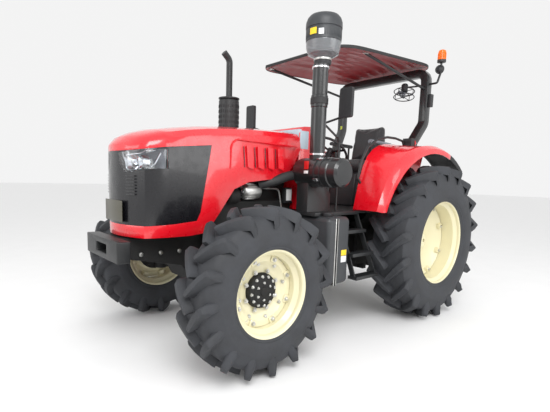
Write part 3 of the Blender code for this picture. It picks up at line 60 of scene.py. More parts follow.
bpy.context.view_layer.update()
BODY_OF = {node: body for body, nodes in frame["record"]["behaviour"]["bodies"].items() for node in nodes}
AXLE_X = sum(corner[0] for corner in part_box("rear_tyre_left")) / 2


class Side(Enum):
    """The two sides of the tractor, as the sign of Y."""

    LEFT = 1.0
    RIGHT = -1.0

    @property
    def word(self) -> str:
        """The side's name as node names spell it."""
        return self.name.lower()


class Axis(Enum):
    """The axis that a turned shape or a ring of copies goes round."""

    X = (1.0, 0.0, 0.0)
    Y = (0.0, 1.0, 0.0)
    Z = (0.0, 0.0, 1.0)


# ---------------------------------------------------------------- shaders


class Signal:
    """A shader socket that takes part in sums as a number does."""

    def __init__(self, shader: Shader, socket: bpy.types.NodeSocket) -> None:
        """Wrap a socket of a shader's tree."""
        self.shader = shader
        self.socket = socket

    def _with(self, operation: str, first: object, second: object) -> Signal:
        """Return the result of a Math node on two values."""
        node = self.shader.node("ShaderNodeMath", {"operation": operation}, {0: first, 1: second})
        return Signal(self.shader, node.outputs[0])

    def __add__(self, other: object) -> Signal:
        """Add."""
        return self._with("ADD", self, other)

    def __radd__(self, other: object) -> Signal:
        """Add, reflected."""
        return self._with("ADD", other, self)

    def __sub__(self, other: object) -> Signal:
        """Subtract."""
        return self._with("SUBTRACT", self, other)

    def __rsub__(self, other: object) -> Signal:
        """Subtract, reflected."""
        return self._with("SUBTRACT", other, self)

    def __mul__(self, other: object) -> Signal:
        """Multiply."""
        return self._with("MULTIPLY", self, other)

    def __rmul__(self, other: object) -> Signal:
        """Multiply, reflected."""
        return self._with("MULTIPLY", other, self)

    def __pow__(self, other: object) -> Signal:
        """Raise to a power."""
        return self._with("POWER", self, other)


class Shader:
    """One material's node tree around a Principled BSDF."""

    def __init__(self, name: str) -> None:
        """Start a material with an empty tree and the object's own coordinates.

        Args:
            name: the material's name.
        """
        self.material = bpy.data.materials.new(name)
        self.material.use_nodes = True
        self.tree = self.material.node_tree
        self.tree.nodes.clear()
        self.place = self.node("ShaderNodeTexCoord", {}, {}).outputs["Object"]

    def node(self, kind: str, settings: dict[str, object], inputs: dict[str | int, object]) -> bpy.types.Node:
        """Add a node.

        Args:
            kind: the node's type.
            settings: attributes set before its sockets; a ramp's stops go under "stops".
            inputs: values or links for its sockets, by name or number.

        Returns:
            The new node.
        """
        made = self.tree.nodes.new(kind)
        for key, value in settings.items():
            if key == "stops":
                for stop, (position, shade) in zip(made.color_ramp.elements, value):
                    stop.position = position
                    stop.color = (shade, shade, shade, 1.0)
            else:
                setattr(made, key, value)
        for key, value in inputs.items():
            source = value.socket if isinstance(value, Signal) else value
            if isinstance(source, bpy.types.NodeSocket):
                self.tree.links.new(source, made.inputs[key])
            else:
                made.inputs[key].default_value = source
        return made

    def stretched(self, scale: Point) -> bpy.types.NodeSocket:
        """Return the object's coordinates, scaled along each axis."""
        return self.node("ShaderNodeMapping", {}, {"Vector": self.place, "Scale": scale}).outputs[0]

    def noise(self, scale: float, detail: float = 3.0, stretch: Point | None = None) -> Signal:
        """Return soft random relief of a given fineness, from 0 to 1.

        Args:
            scale: its fineness.
            detail: its levels of detail.
            stretch: its scale along each axis, if uneven.

        Returns:
            The relief.
        """
        place = self.stretched(stretch) if stretch else self.place
        made = self.node("ShaderNodeTexNoise", {}, {"Vector": place, "Scale": scale, "Detail": detail})
        return Signal(self, made.outputs[0])

    def cells(self, scale: float, feature: str = "F1") -> Signal:
        """Return the distance pattern of random cells."""
        made = self.node("ShaderNodeTexVoronoi", {"feature": feature}, {"Vector": self.place, "Scale": scale})
        return Signal(self, made.outputs["Distance"])

    def ramp(self, value: Signal, low: float, high: float) -> Signal:
        """Return a value spread from 0 at low to 1 at high."""
        made = self.node("ShaderNodeValToRGB", {"stops": ((low, 0.0), (high, 1.0))}, {0: value})
        return Signal(self, made.outputs[0])

    def shades(self, factor: Signal, first: Point, second: Point) -> bpy.types.NodeSocket:
        """Return a colour between two, by a factor.

        Args:
            factor: from 0 for the first to 1 for the second.
            first: the first colour.
            second: the second colour.

        Returns:
            The colour's socket.
        """
        made = self.node("ShaderNodeMix", {"data_type": "RGBA"},
                         {0: factor, 6: (*first, 1.0), 7: (*second, 1.0)})
        return made.outputs[2]

    def relief(self, height: Signal, depth: float, strength: float = 1.0) -> bpy.types.NodeSocket:
        """Return a normal bumped by a height, whose full depth is in metres."""
        made = self.node("ShaderNodeBump", {}, {"Height": height, "Distance": depth, "Strength": strength})
        return made.outputs[0]

    def close(self, sockets: dict[str, object]) -> bpy.types.Material:
        """Add the surface and the output.

        Args:
            sockets: values or links for the Principled BSDF.

        Returns:
            The finished material.
        """
        surface = self.node("ShaderNodeBsdfPrincipled", {}, sockets)
        self.node("ShaderNodeOutputMaterial", {}, {"Surface": surface.outputs[0]})
        return self.material


def tint(colour: Point, share: float) -> Point:
    """Return a colour made lighter or darker by a share."""
    return tuple(min(1.0, channel * share) for channel in colour)


@dataclass(frozen=True)
class Finish:
    """A surface finish.

    Fields: its name, the record's material slot, colour and mean roughness.
    """

    name: str
    slot: str
    colour: Point
    roughness: float = 0.5

    def material(self) -> bpy.types.Material:
        """Return this finish's material, made on its first use."""
        return bpy.data.materials.get(self.name) or self.build(Shader(self.name))

    def build(self, shader: Shader) -> bpy.types.Material:
        """Make the nodes of a plain finish with faint unevenness.

        Args:
            shader: the shader to build in.

        Returns:
            The material.
        """
        patches = shader.noise(6.0)
        fine = shader.noise(220.0, 2.0)
        return shader.close({
            "Base Color": shader.shades(patches, tint(self.colour, 0.92), tint(self.colour, 1.08)),
            "Roughness": patches * 0.1 + (self.roughness - 0.05),
            "Normal": shader.relief(fine, 0.0002),
        })


@dataclass(frozen=True)
class GlossPaint(Finish):
    """Sprayed enamel under a clear coat, with a slight orange peel."""

    coat: float = 1.0

    def build(self, shader: Shader) -> bpy.types.Material:
        """Make the nodes of the enamel.

        Args:
            shader: the shader to build in.

        Returns:
            The material.
        """
        drift = shader.noise(2.5, 2.0)
        peel = shader.noise(260.0, 1.0)
        smear = shader.ramp(shader.noise(14.0, 4.0), 0.35, 0.75)
        return shader.close({
            "Base Color": shader.shades(drift, tint(self.colour, 0.93), tint(self.colour, 1.06)),
            "Roughness": smear * 0.10 + (self.roughness - 0.05),
            "Coat Weight": smear * -0.15 + self.coat,
            "Coat Roughness": 0.07,
            "Normal": shader.relief(peel, 0.00012),
        })


@dataclass(frozen=True)
class Casting(Finish):
    """Painted cast iron: pitted, with lighter dusty patches."""

    grain: float = 130.0

    def build(self, shader: Shader) -> bpy.types.Material:
        """Make the nodes of the cast surface.

        Args:
            shader: the shader to build in.

        Returns:
            The material.
        """
        pits = shader.noise(self.grain, 5.0)
        dust = shader.ramp(shader.noise(9.0, 5.0), 0.45, 0.8)
        return shader.close({
            "Base Color": shader.shades(dust, self.colour, tint(self.colour, 2.2)),
            "Roughness": dust * 0.25 + self.roughness,
            "Normal": shader.relief(pits, 0.0012),
        })


@dataclass(frozen=True)
class TyreRubber(Finish):
    """New tyre rubber with a waxy bloom and fine mould grain."""

    def build(self, shader: Shader) -> bpy.types.Material:
        """Make the nodes of the rubber.

        Args:
            shader: the shader to build in.

        Returns:
            The material.
        """
        bloom = shader.ramp(shader.noise(7.0, 6.0), 0.35, 0.7)
        scuff = shader.noise(45.0, 4.0)
        grain = shader.noise(600.0, 2.0)
        return shader.close({
            "Base Color": shader.shades(
                bloom * 0.7 + scuff * 0.3, tint(self.colour, 0.7), tint(self.colour, 1.5)),
            "Roughness": bloom * 0.22 + (self.roughness - 0.1),
            "Normal": shader.relief(grain * 0.4 + scuff, 0.0009),
        })


@dataclass(frozen=True)
class Moulded(Finish):
    """Moulded plastic or a powder coat with a pebbled grain."""

    grain: float = 900.0
    depth: float = 0.0004

    def build(self, shader: Shader) -> bpy.types.Material:
        """Make the nodes of the grained surface.

        Args:
            shader: the shader to build in.

        Returns:
            The material.
        """
        pebbles = shader.cells(self.grain)
        patches = shader.noise(11.0, 4.0)
        return shader.close({
            "Base Color": shader.shades(patches, tint(self.colour, 0.85), tint(self.colour, 1.2)),
            "Roughness": patches * 0.18 + (self.roughness - 0.09),
            "Normal": shader.relief(pebbles, self.depth),
        })


@dataclass(frozen=True)
class BareMetal(Finish):
    """Plated or brushed metal with drawn scratches."""

    def build(self, shader: Shader) -> bpy.types.Material:
        """Make the nodes of the metal.

        Args:
            shader: the shader to build in.

        Returns:
            The material.
        """
        drawn = shader.noise(90.0, 4.0, (1.0, 1.0, 14.0))
        stain = shader.ramp(shader.noise(18.0, 4.0), 0.4, 0.8)
        return shader.close({
            "Base Color": shader.shades(stain, self.colour, tint(self.colour, 0.7)),
            "Metallic": stain * -0.15 + 1.0,
            "Roughness": drawn * 0.2 + (self.roughness - 0.1),
            "Normal": shader.relief(drawn, 0.0002),
        })


@dataclass(frozen=True)
class Clear(Finish):
    """Clear or tinted lamp plastic and glass."""

    share: float = 1.0

    def build(self, shader: Shader) -> bpy.types.Material:
        """Make the nodes of the clear plastic.

        Args:
            shader: the shader to build in.

        Returns:
            The material.
        """
        haze = shader.noise(30.0, 3.0)
        return shader.close({
            "Base Color": (*self.colour, 1.0),
            "Transmission Weight": self.share,
            "IOR": 1.45,
            "Roughness": haze * 0.06 + self.roughness,
        })


@dataclass(frozen=True)
class Vinyl(Finish):
    """Seat vinyl with a leather grain and a soft sheen."""

    def build(self, shader: Shader) -> bpy.types.Material:
        """Make the nodes of the vinyl.

        Args:
            shader: the shader to build in.

        Returns:
            The material.
        """
        creases = shader.cells(420.0, "DISTANCE_TO_EDGE")
        wear = shader.ramp(shader.noise(8.0, 5.0), 0.4, 0.75)
        return shader.close({
            "Base Color": shader.shades(wear, self.colour, tint(self.colour, 1.7)),
            "Roughness": wear * 0.2 + (self.roughness - 0.1),
            "Sheen Weight": 0.2,
            "Normal": shader.relief(shader.ramp(creases, 0.0, 0.25), 0.0006),
        })


class Finishes:
    """The tractor's finishes, by what they are on."""

    RED = GlossPaint("red_enamel", "red_paint", (0.72, 0.004, 0.014), 0.3)
    # Darker copy of the red enamel: painted shade for the canopy's underside.
    DEEP_RED = GlossPaint("red_underside", "red_paint", (0.30, 0.003, 0.008), 0.45, 0.3)
    CREAM = GlossPaint("cream_enamel", "cream_paint", (0.74, 0.69, 0.47), 0.36, 0.5)
    SATIN = Moulded("black_satin", "black_paint", (0.016, 0.017, 0.018), 0.42, 500.0, 0.0002)
    CAST = Casting("black_casting", "black_casting", (0.018, 0.019, 0.020), 0.5)
    TYRE = TyreRubber("tyre_rubber", "tyre", (0.032, 0.034, 0.039), 0.72)
    RUBBER = TyreRubber("black_rubber", "rubber", (0.015, 0.015, 0.016), 0.6)
    PLASTIC = Moulded("black_moulding", "black_plastic", (0.018, 0.018, 0.02), 0.45)
    GLOSS = GlossPaint("black_gloss", "black_plastic", (0.006, 0.006, 0.008), 0.28, 0.35)
    GREY = Moulded("grey_moulding", "grey_plastic", (0.20, 0.22, 0.25), 0.5)
    PALE = Moulded("pale_panel", "grey_plastic", (0.45, 0.55, 0.62), 0.4)
    STEEL = BareMetal("plated_steel", "steel", (0.62, 0.62, 0.60), 0.35)
    CHROME = BareMetal("bright_trim", "steel", (0.85, 0.86, 0.88), 0.14)
    LENS = Clear("clear_lens", "lens", (0.95, 0.97, 1.0), 0.03)
    AMBER = Clear("amber_lens", "amber", (1.0, 0.25, 0.01), 0.12, 0.55)
    RED_LENS = Clear("red_lens", "amber", (0.8, 0.01, 0.01), 0.12, 0.5)
    BOWL = Clear("smoked_bowl", "lens", (0.50, 0.52, 0.54), 0.08, 0.75)
    SEAT = Vinyl("seat_vinyl", "seat_cover", (0.016, 0.016, 0.018), 0.5)
    WHITE = Finish("white_label", "plate_white", (0.75, 0.76, 0.76), 0.4)
    YELLOW = Finish("yellow_label", "plate_white", (0.85, 0.58, 0.02), 0.45)
    REFLECTOR = Finish("reflective_tape", "plate_white", (0.62, 0.75, 0.05), 0.35)
    RED_LABEL = Finish("red_label", "plate_white", (0.55, 0.01, 0.01), 0.4)
    OLIVE = Finish("blank_plate", "plate_white", (0.07, 0.065, 0.045), 0.3)
    GREY_DARK = Moulded("dark_grey_moulding", "grey_plastic", (0.035, 0.038, 0.042), 0.45, 500.0, 0.0002)
    SATIN_GLOSS = GlossPaint("black_enamel", "black_paint", (0.012, 0.013, 0.014), 0.35, 0.5)
    BEZEL = GlossPaint("lamp_bezel", "lens", (0.25, 0.26, 0.28), 0.2, 0.6)
    BEACON = Clear("beacon_lens", "amber", (1.0, 0.20, 0.01), 0.2, 0.25)
    MIRROR = BareMetal("mirror_glass", "lens", (0.9, 0.91, 0.92), 0.12)


# ---------------------------------------------------------------- repeated shapes


class Repeater:
    """A Geometry Nodes tree that repeats one shape along a line, round an axis, or both."""

    INPUTS = (
        ("Source", "NodeSocketObject"), ("Count", "NodeSocketInt"), ("Centre", "NodeSocketVector"),
        ("Step", "NodeSocketVector"), ("Start turn", "NodeSocketVector"), ("Turn", "NodeSocketVector"),
        ("Finish", "NodeSocketMaterial"),
    )

    def __init__(self) -> None:
        """Build the tree once."""
        self.tree = bpy.data.node_groups.new("repeated_shape", "GeometryNodeTree")
        self.sockets = {
            name: self.tree.interface.new_socket(name=name, in_out="INPUT", socket_type=kind).identifier
            for name, kind in self.INPUTS
        }
        self.tree.interface.new_socket(name="Result", in_out="OUTPUT", socket_type="NodeSocketGeometry")
        given = self._node("NodeGroupInput", {})
        index = self._node("GeometryNodeInputIndex", {}).outputs[0]
        place = self._along(index, given.outputs["Step"], given.outputs["Centre"])
        turn = self._along(index, given.outputs["Turn"], given.outputs["Start turn"])
        points = self._node("GeometryNodePoints", {"Count": given.outputs["Count"], "Position": place})
        source = self._node("GeometryNodeObjectInfo", {"Object": given.outputs["Source"]})
        copies = self._node("GeometryNodeInstanceOnPoints", {
            "Points": points.outputs[0], "Instance": source.outputs["Geometry"], "Rotation": turn})
        real = self._node("GeometryNodeRealizeInstances", {"Geometry": copies.outputs[0]})
        dressed = self._node("GeometryNodeSetMaterial", {
            "Geometry": real.outputs[0], "Material": given.outputs["Finish"]})
        self._node("NodeGroupOutput", {"Result": dressed.outputs[0]})

    def _node(self, kind: str, links: dict[str, bpy.types.NodeSocket]) -> bpy.types.Node:
        """Add a node and link its inputs.

        Args:
            kind: the node's type.
            links: what feeds its inputs, by name.

        Returns:
            The new node.
        """
        made = self.tree.nodes.new(kind)
        for name, socket in links.items():
            self.tree.links.new(socket, made.inputs[name])
        return made

    def _along(self, index: bpy.types.NodeSocket, step: bpy.types.NodeSocket,
               start: bpy.types.NodeSocket) -> bpy.types.NodeSocket:
        """Return start + index times step.

        Args:
            index: the copy's number.
            step: the step.
            start: the start.

        Returns:
            The sum's socket.
        """
        made = self.tree.nodes.new("ShaderNodeVectorMath")
        made.operation = "MULTIPLY_ADD"
        for slot, socket in enumerate((step, index, start)):
            self.tree.links.new(socket, made.inputs[slot])
        return made.outputs[0]

    def mesh(self, source: bpy.types.Object, count: int, centre: Point, step: Point = (0.0, 0.0, 0.0),
             start_turn: Point = (0.0, 0.0, 0.0), turn: Point = (0.0, 0.0, 0.0)) -> bpy.types.Mesh:
        """Return one plain mesh of the copies.

        Args:
            source: the shape, about its own origin.
            count: how many copies.
            centre: where the first copy's origin goes.
            step: how far each copy lies from the one before.
            start_turn: the first copy's rotation.
            turn: how much further each copy is turned.

        Returns:
            The copies' mesh.
        """
        holder = bpy.data.objects.new("holder", bpy.data.meshes.new("holder"))
        bpy.context.scene.collection.objects.link(holder)
        made = holder.modifiers.new("Repeat", "NODES")
        made.node_group = self.tree
        values = {"Source": source, "Count": count, "Centre": centre, "Step": step, "Start turn": start_turn,
                  "Turn": turn, "Finish": source.data.materials[0] if source.data.materials else None}
        for name, value in values.items():
            made[self.sockets[name]] = value
        bpy.context.view_layer.update()
        result = bpy.data.meshes.new_from_object(holder.evaluated_get(bpy.context.evaluated_depsgraph_get()))
        bpy.data.objects.remove(holder)
        return result


REPEATER = Repeater()


# ---------------------------------------------------------------- shapes


def spoke(axis: Axis, angle: float) -> Vector:
    """Return the unit direction at an angle round an axis, from up (or from ahead round Z).

    Args:
        axis: the axis.
        angle: the angle, in radians.

    Returns:
        The unit direction.
    """
    if axis is Axis.X:
        return Vector((0.0, -math.sin(angle), math.cos(angle)))
    if axis is Axis.Y:
        return Vector((math.sin(angle), 0.0, math.cos(angle)))
    return Vector((math.cos(angle), math.sin(angle), 0.0))


def soft_path(points: Sequence[Point], bend: float, steps: int = 5) -> list[Vector]:
    """Return a path whose corners are rounded to a bend radius.

    Args:
        points: the path's corners.
        bend: how far each corner is rounded.
        steps: the points on each bend.

    Returns:
        The rounded path.
    """
    path = [Vector(p) for p in points]
    if bend <= 0.0 or len(path) < 3:
        return path
    out = [path[0]]
    for before, here, after in zip(path, path[1:], path[2:]):
        back = min(bend, (before - here).length * 0.48, (after - here).length * 0.48)
        start = here + (before - here).normalized() * back
        end = here + (after - here).normalized() * back
        for step in range(steps + 1):
            t = step / steps
            out.append(start.lerp(here, t).lerp(here.lerp(end, t), t))
    out.append(path[-1])
    return out


class Piece:
    """One visible piece while it is modelled, in metres ahead of, beside and above the rear axle's foot."""

    def __init__(self, name: str) -> None:
        """Start an empty piece.

        Args:
            name: its name.
        """
        self.name = name
        self.work = bmesh.new()
        self.finishes: list[Finish] = []

    def _slot(self, finish: Finish) -> int:
        """Return the number of a finish among this piece's material slots.

        Args:
            finish: the finish.

        Returns:
            Its number.
        """
        if finish not in self.finishes:
            self.finishes.append(finish)
        return self.finishes.index(finish)

    def shape(self, points: Iterable[Sequence[float]], faces: Iterable[Sequence[int]],
              finish: Finish) -> None:
        """Add a mesh from points and faces.

        Args:
            points: the points.
            faces: the faces, as numbers of points.
            finish: the finish.
        """
        verts = [self.work.verts.new(tuple(p)) for p in points]
        slot = self._slot(finish)
        for corners in faces:
            face = self.work.faces.new([verts[i] for i in corners])
            face.material_index = slot

    def mesh(self, mesh: bpy.types.Mesh, finish: Finish) -> None:
        """Add a ready mesh and drop it."""
        self.shape([v.co for v in mesh.vertices], [tuple(p.vertices) for p in mesh.polygons], finish)
        bpy.data.meshes.remove(mesh)

    def loft(self, rings: Sequence[Sequence[Sequence[float]]], finish: Finish, closed: bool = False,
             caps: bool = True, around: bool = True) -> None:
        """Join rings of equal size into a skin.

        Args:
            rings: the rings' points.
            finish: the skin's finish.
            closed: whether the last ring joins the first.
            caps: whether the ends are filled.
            around: whether each ring is a closed loop.
        """
        size = len(rings[0])
        count = len(rings)
        faces: list[tuple[int, ...]] = []
        for ring in range(count if closed else count - 1):
            here, there = ring * size, ((ring + 1) % count) * size
            for step in range(size if around else size - 1):
                after = (step + 1) % size
                faces.append((here + step, here + after, there + after, there + step))
        if caps and not closed:
            faces.append(tuple(range(size - 1, -1, -1)))
            faces.append(tuple(range((count - 1) * size, count * size)))
        self.shape([p for ring in rings for p in ring], faces, finish)

    def turned(self, profile: Sequence[Pair], centre: Point, axis: Axis, finish: Finish, steps: int = 48,
               closed: bool = False, way: float = 1.0) -> None:
        """Turn a profile about an axis.

        Args:
            profile: (radius, along) points.
            centre: the point that "along" is measured from.
            axis: the axis.
            finish: the finish.
            steps: facets round the axis.
            closed: whether the profile is a closed section.
            way: -1 to run the profile against the axis.
        """
        rings = [[Vector(centre) + Vector(axis.value) * along * way
                  + spoke(axis, 2.0 * math.pi * s / steps) * max(radius, 0.0001) for s in range(steps)]
                 for radius, along in profile]
        self.loft(rings, finish, closed)

    def rod(self, points: Sequence[Point], radius: float, finish: Finish, bend: float = 0.0, sides: int = 14,
            flat: float = 1.0) -> None:
        """Run a round bar or pipe through points.

        Args:
            points: the corners of its middle line.
            radius: its radius.
            finish: its finish.
            bend: how far each corner is rounded.
            sides: facets round it.
            flat: its height as a share of its width.
        """
        path = soft_path(points, bend)
        rings = []
        normal: Vector | None = None
        for i, here in enumerate(path):
            ahead = path[min(i + 1, len(path) - 1)] - path[max(i - 1, 0)]
            ahead.normalize()
            if normal is None:
                guide = Vector((0, 0, 1)) if abs(ahead.z) < 0.9 else Vector((1, 0, 0))
                normal = (guide - ahead * guide.dot(ahead)).normalized()
            else:
                normal = (normal - ahead * normal.dot(ahead)).normalized()
            across = ahead.cross(normal)
            rings.append([here + normal * math.cos(a) * radius * flat + across * math.sin(a) * radius
                          for a in (2.0 * math.pi * s / sides for s in range(sides))])
        self.loft(rings, finish)

    def block(self, low: Point, high: Point, finish: Finish, edge: float = 0.004, turn: Matrix | None = None,
              about: Point = (0.0, 0.0, 0.0)) -> None:
        """Add a block with rounded edges, turned about a point if asked.

        Args:
            low: the low corner.
            high: the high corner.
            finish: its finish.
            edge: its edges' rounding.
            turn: the turn, if any.
            about: the point that it is turned about.
        """
        temp = bmesh.new()
        made = bmesh.ops.create_cube(temp, size=1.0)
        size = Vector(high) - Vector(low)
        middle = (Vector(high) + Vector(low)) / 2.0
        for v in made["verts"]:
            v.co = Vector((v.co.x * size.x, v.co.y * size.y, v.co.z * size.z)) + middle
        self._soften(temp, min(edge, 0.3 * min(abs(s) for s in size)))
        if turn is not None:
            bmesh.ops.rotate(temp, verts=temp.verts, cent=about, matrix=turn)
        self._take(temp, finish)

    def plate(self, outline: Sequence[Pair], low: float, high: float, finish: Finish, edge: float = 0.003,
              plane: str = "XZ") -> None:
        """Add a plate with rounded edges from its outline.

        Args:
            outline: corners in the plane.
            low: where it starts, across the plane.
            high: where it ends.
            finish: its finish.
            edge: its edges' rounding.
            plane: XZ or YZ.
        """
        place = {
            "XZ": lambda a, b, c: (a, c, b),
            "YZ": lambda a, b, c: (c, a, b),
        }[plane]
        temp = bmesh.new()
        near = [temp.verts.new(place(a, b, low)) for a, b in outline]
        far = [temp.verts.new(place(a, b, high)) for a, b in outline]
        temp.faces.new(near[::-1])
        temp.faces.new(far)
        for i in range(len(outline)):
            j = (i + 1) % len(outline)
            temp.faces.new((near[i], near[j], far[j], far[i]))
        self._soften(temp, edge)
        self._take(temp, finish)

    def copy(self, node: str, finish: Finish, edge: float = 0.0) -> None:
        """Add a merged copy of a CAD node's mesh, its flat faces joined and its edges rounded.

        Args:
            node: the CAD node.
            finish: its finish.
            edge: its edges' rounding.
        """
        temp = bmesh.new()
        temp.from_mesh(frame["nodes"][node].data)
        bmesh.ops.remove_doubles(temp, verts=temp.verts, dist=0.00002)
        bmesh.ops.translate(temp, verts=temp.verts, vec=(-AXLE_X, 0.0, 0.0))
        bmesh.ops.dissolve_limit(temp, angle_limit=math.radians(0.6), verts=temp.verts, edges=temp.edges)
        if edge:
            self._soften(temp, edge)
        self._take(temp, finish)

    def ring(self, source: Piece, count: int, centre: Point, axis: Axis, start: float = 0.0,
             turn: float | None = None) -> None:
        """Repeat a small piece round an axis through a centre.

        Args:
            source: the small piece.
            count: how many.
            centre: a point on the axis.
            axis: the axis.
            start: the first copy's angle.
            turn: the angle from copy to copy, or None for an even ring.
        """
        step = 2.0 * math.pi / count if turn is None else turn
        turned = Vector(axis.value)
        self._repeat(source, count, centre, start_turn=tuple(turned * start), turn=tuple(turned * step))

    def row(self, source: Piece, count: int, first: Point, step: Point) -> None:
        """Repeat a small piece along a line."""
        self._repeat(source, count, first, step=step)

    def _repeat(self, source: Piece, count: int, centre: Point, **how: Point) -> None:
        """Repeat a piece by Geometry Nodes and add the copies.

        Args:
            source: the small piece, used up by this.
            count: how many.
            centre: where the first goes.
            how: the steps and turns.
        """
        finish = source.finishes[0]
        pattern = source.object()
        copies = REPEATER.mesh(pattern, count, centre, **how)
        bpy.data.objects.remove(pattern)
        self.mesh(copies, finish)

    def _soften(self, temp: bmesh.types.BMesh, width: float) -> None:
        """Round a closed mesh's sharp edges.

        Args:
            temp: the mesh.
            width: the rounding.
        """
        corner = math.radians(35.0)
        sharp = [e for e in temp.edges if len(e.link_faces) == 2 and e.calc_face_angle(0.0) > corner]
        if width > 0.0 and sharp:
            bmesh.ops.bevel(temp, geom=sharp, offset=width, offset_type="OFFSET", segments=2, profile=0.5,
                            affect="EDGES", clamp_overlap=True)

    def _take(self, temp: bmesh.types.BMesh, finish: Finish) -> None:
        """Move a work mesh's faces into this piece.

        Args:
            temp: the work mesh, freed by this.
            finish: its finish.
        """
        temp.verts.index_update()
        faces = [[v.index for v in f.verts] for f in temp.faces]
        self.shape([v.co.copy() for v in temp.verts], faces, finish)
        temp.free()

    def object(self, shift: float = 0.0, sharp: float = 32.0) -> bpy.types.Object:
        """Return the piece as a mesh object, shaded smooth between its sharp edges.

        Args:
            shift: how far it is moved along X.
            sharp: the angle above which an edge stays sharp, in degrees.

        Returns:
            The object.
        """
        bmesh.ops.remove_doubles(self.work, verts=self.work.verts, dist=0.00001)
        bmesh.ops.recalc_face_normals(self.work, faces=self.work.faces)
        bmesh.ops.translate(self.work, verts=self.work.verts, vec=(shift, 0.0, 0.0))
        mesh = bpy.data.meshes.new(self.name)
        self.work.to_mesh(mesh)
        self.work.free()
        for finish in self.finishes:
            mesh.materials.append(finish.material())
        mesh.shade_smooth()
        mesh.set_sharp_from_angle(angle=math.radians(sharp))
        made = bpy.data.objects.new(self.name, mesh)
        bpy.context.scene.collection.objects.link(made)
        return made

    def on(self, body: str, replaces: Sequence[str] = (), sharp: float = 32.0) -> bpy.types.Object:
        """Finish the piece on a CAD body.

        Args:
            body: the body it rides on.
            replaces: the CAD nodes that it stands for.
            sharp: the angle above which an edge stays sharp, in degrees.

        Returns:
            The finished object.
        """
        made = self.object(AXLE_X, sharp)
        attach(made, body)
        if replaces:
            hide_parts(*replaces)
        LOG.info("%s: %d faces on %s", self.name, len(made.data.polygons), body)
        return made


def bolt(radius: float, height: float, axis: Axis, offset: Point, finish: Finish = Finishes.STEEL) -> Piece:
    """Return a hexagon bolt head on a washer, pointing along an axis, at an offset from its origin.

    Args:
        radius: across the head's corners, halved.
        height: the head's height, below zero to point the other way.
        axis: the way it points.
        offset: where its foot stands.
        finish: its finish.

    Returns:
        The bolt, to be repeated.
    """
    made = Piece("bolt")
    washer = radius * 1.45
    profile = [(washer, 0.0), (washer, height * 0.2), (radius, height * 0.2),
               (radius, height * 0.85), (radius * 0.82, height)]
    made.turned(profile, offset, axis, finish, 6 if height > 0 else 12)
    return made


def carried(node: str, finish: Finish, edge: float = 0.003, sharp: float = 32.0) -> bpy.types.Object:
    """Stand a smooth-edged copy in for a CAD node.

    Args:
        node: the CAD node.
        finish: its finish.
        edge: its edges' rounding.
        sharp: the angle above which an edge stays sharp, in degrees.

    Returns:
        The finished object.
    """
    piece = Piece(f"{node}_skin")
    piece.copy(node, finish, edge)
    return piece.on(BODY_OF[node], [node], sharp)


# ---------------------------------------------------------------- wheels


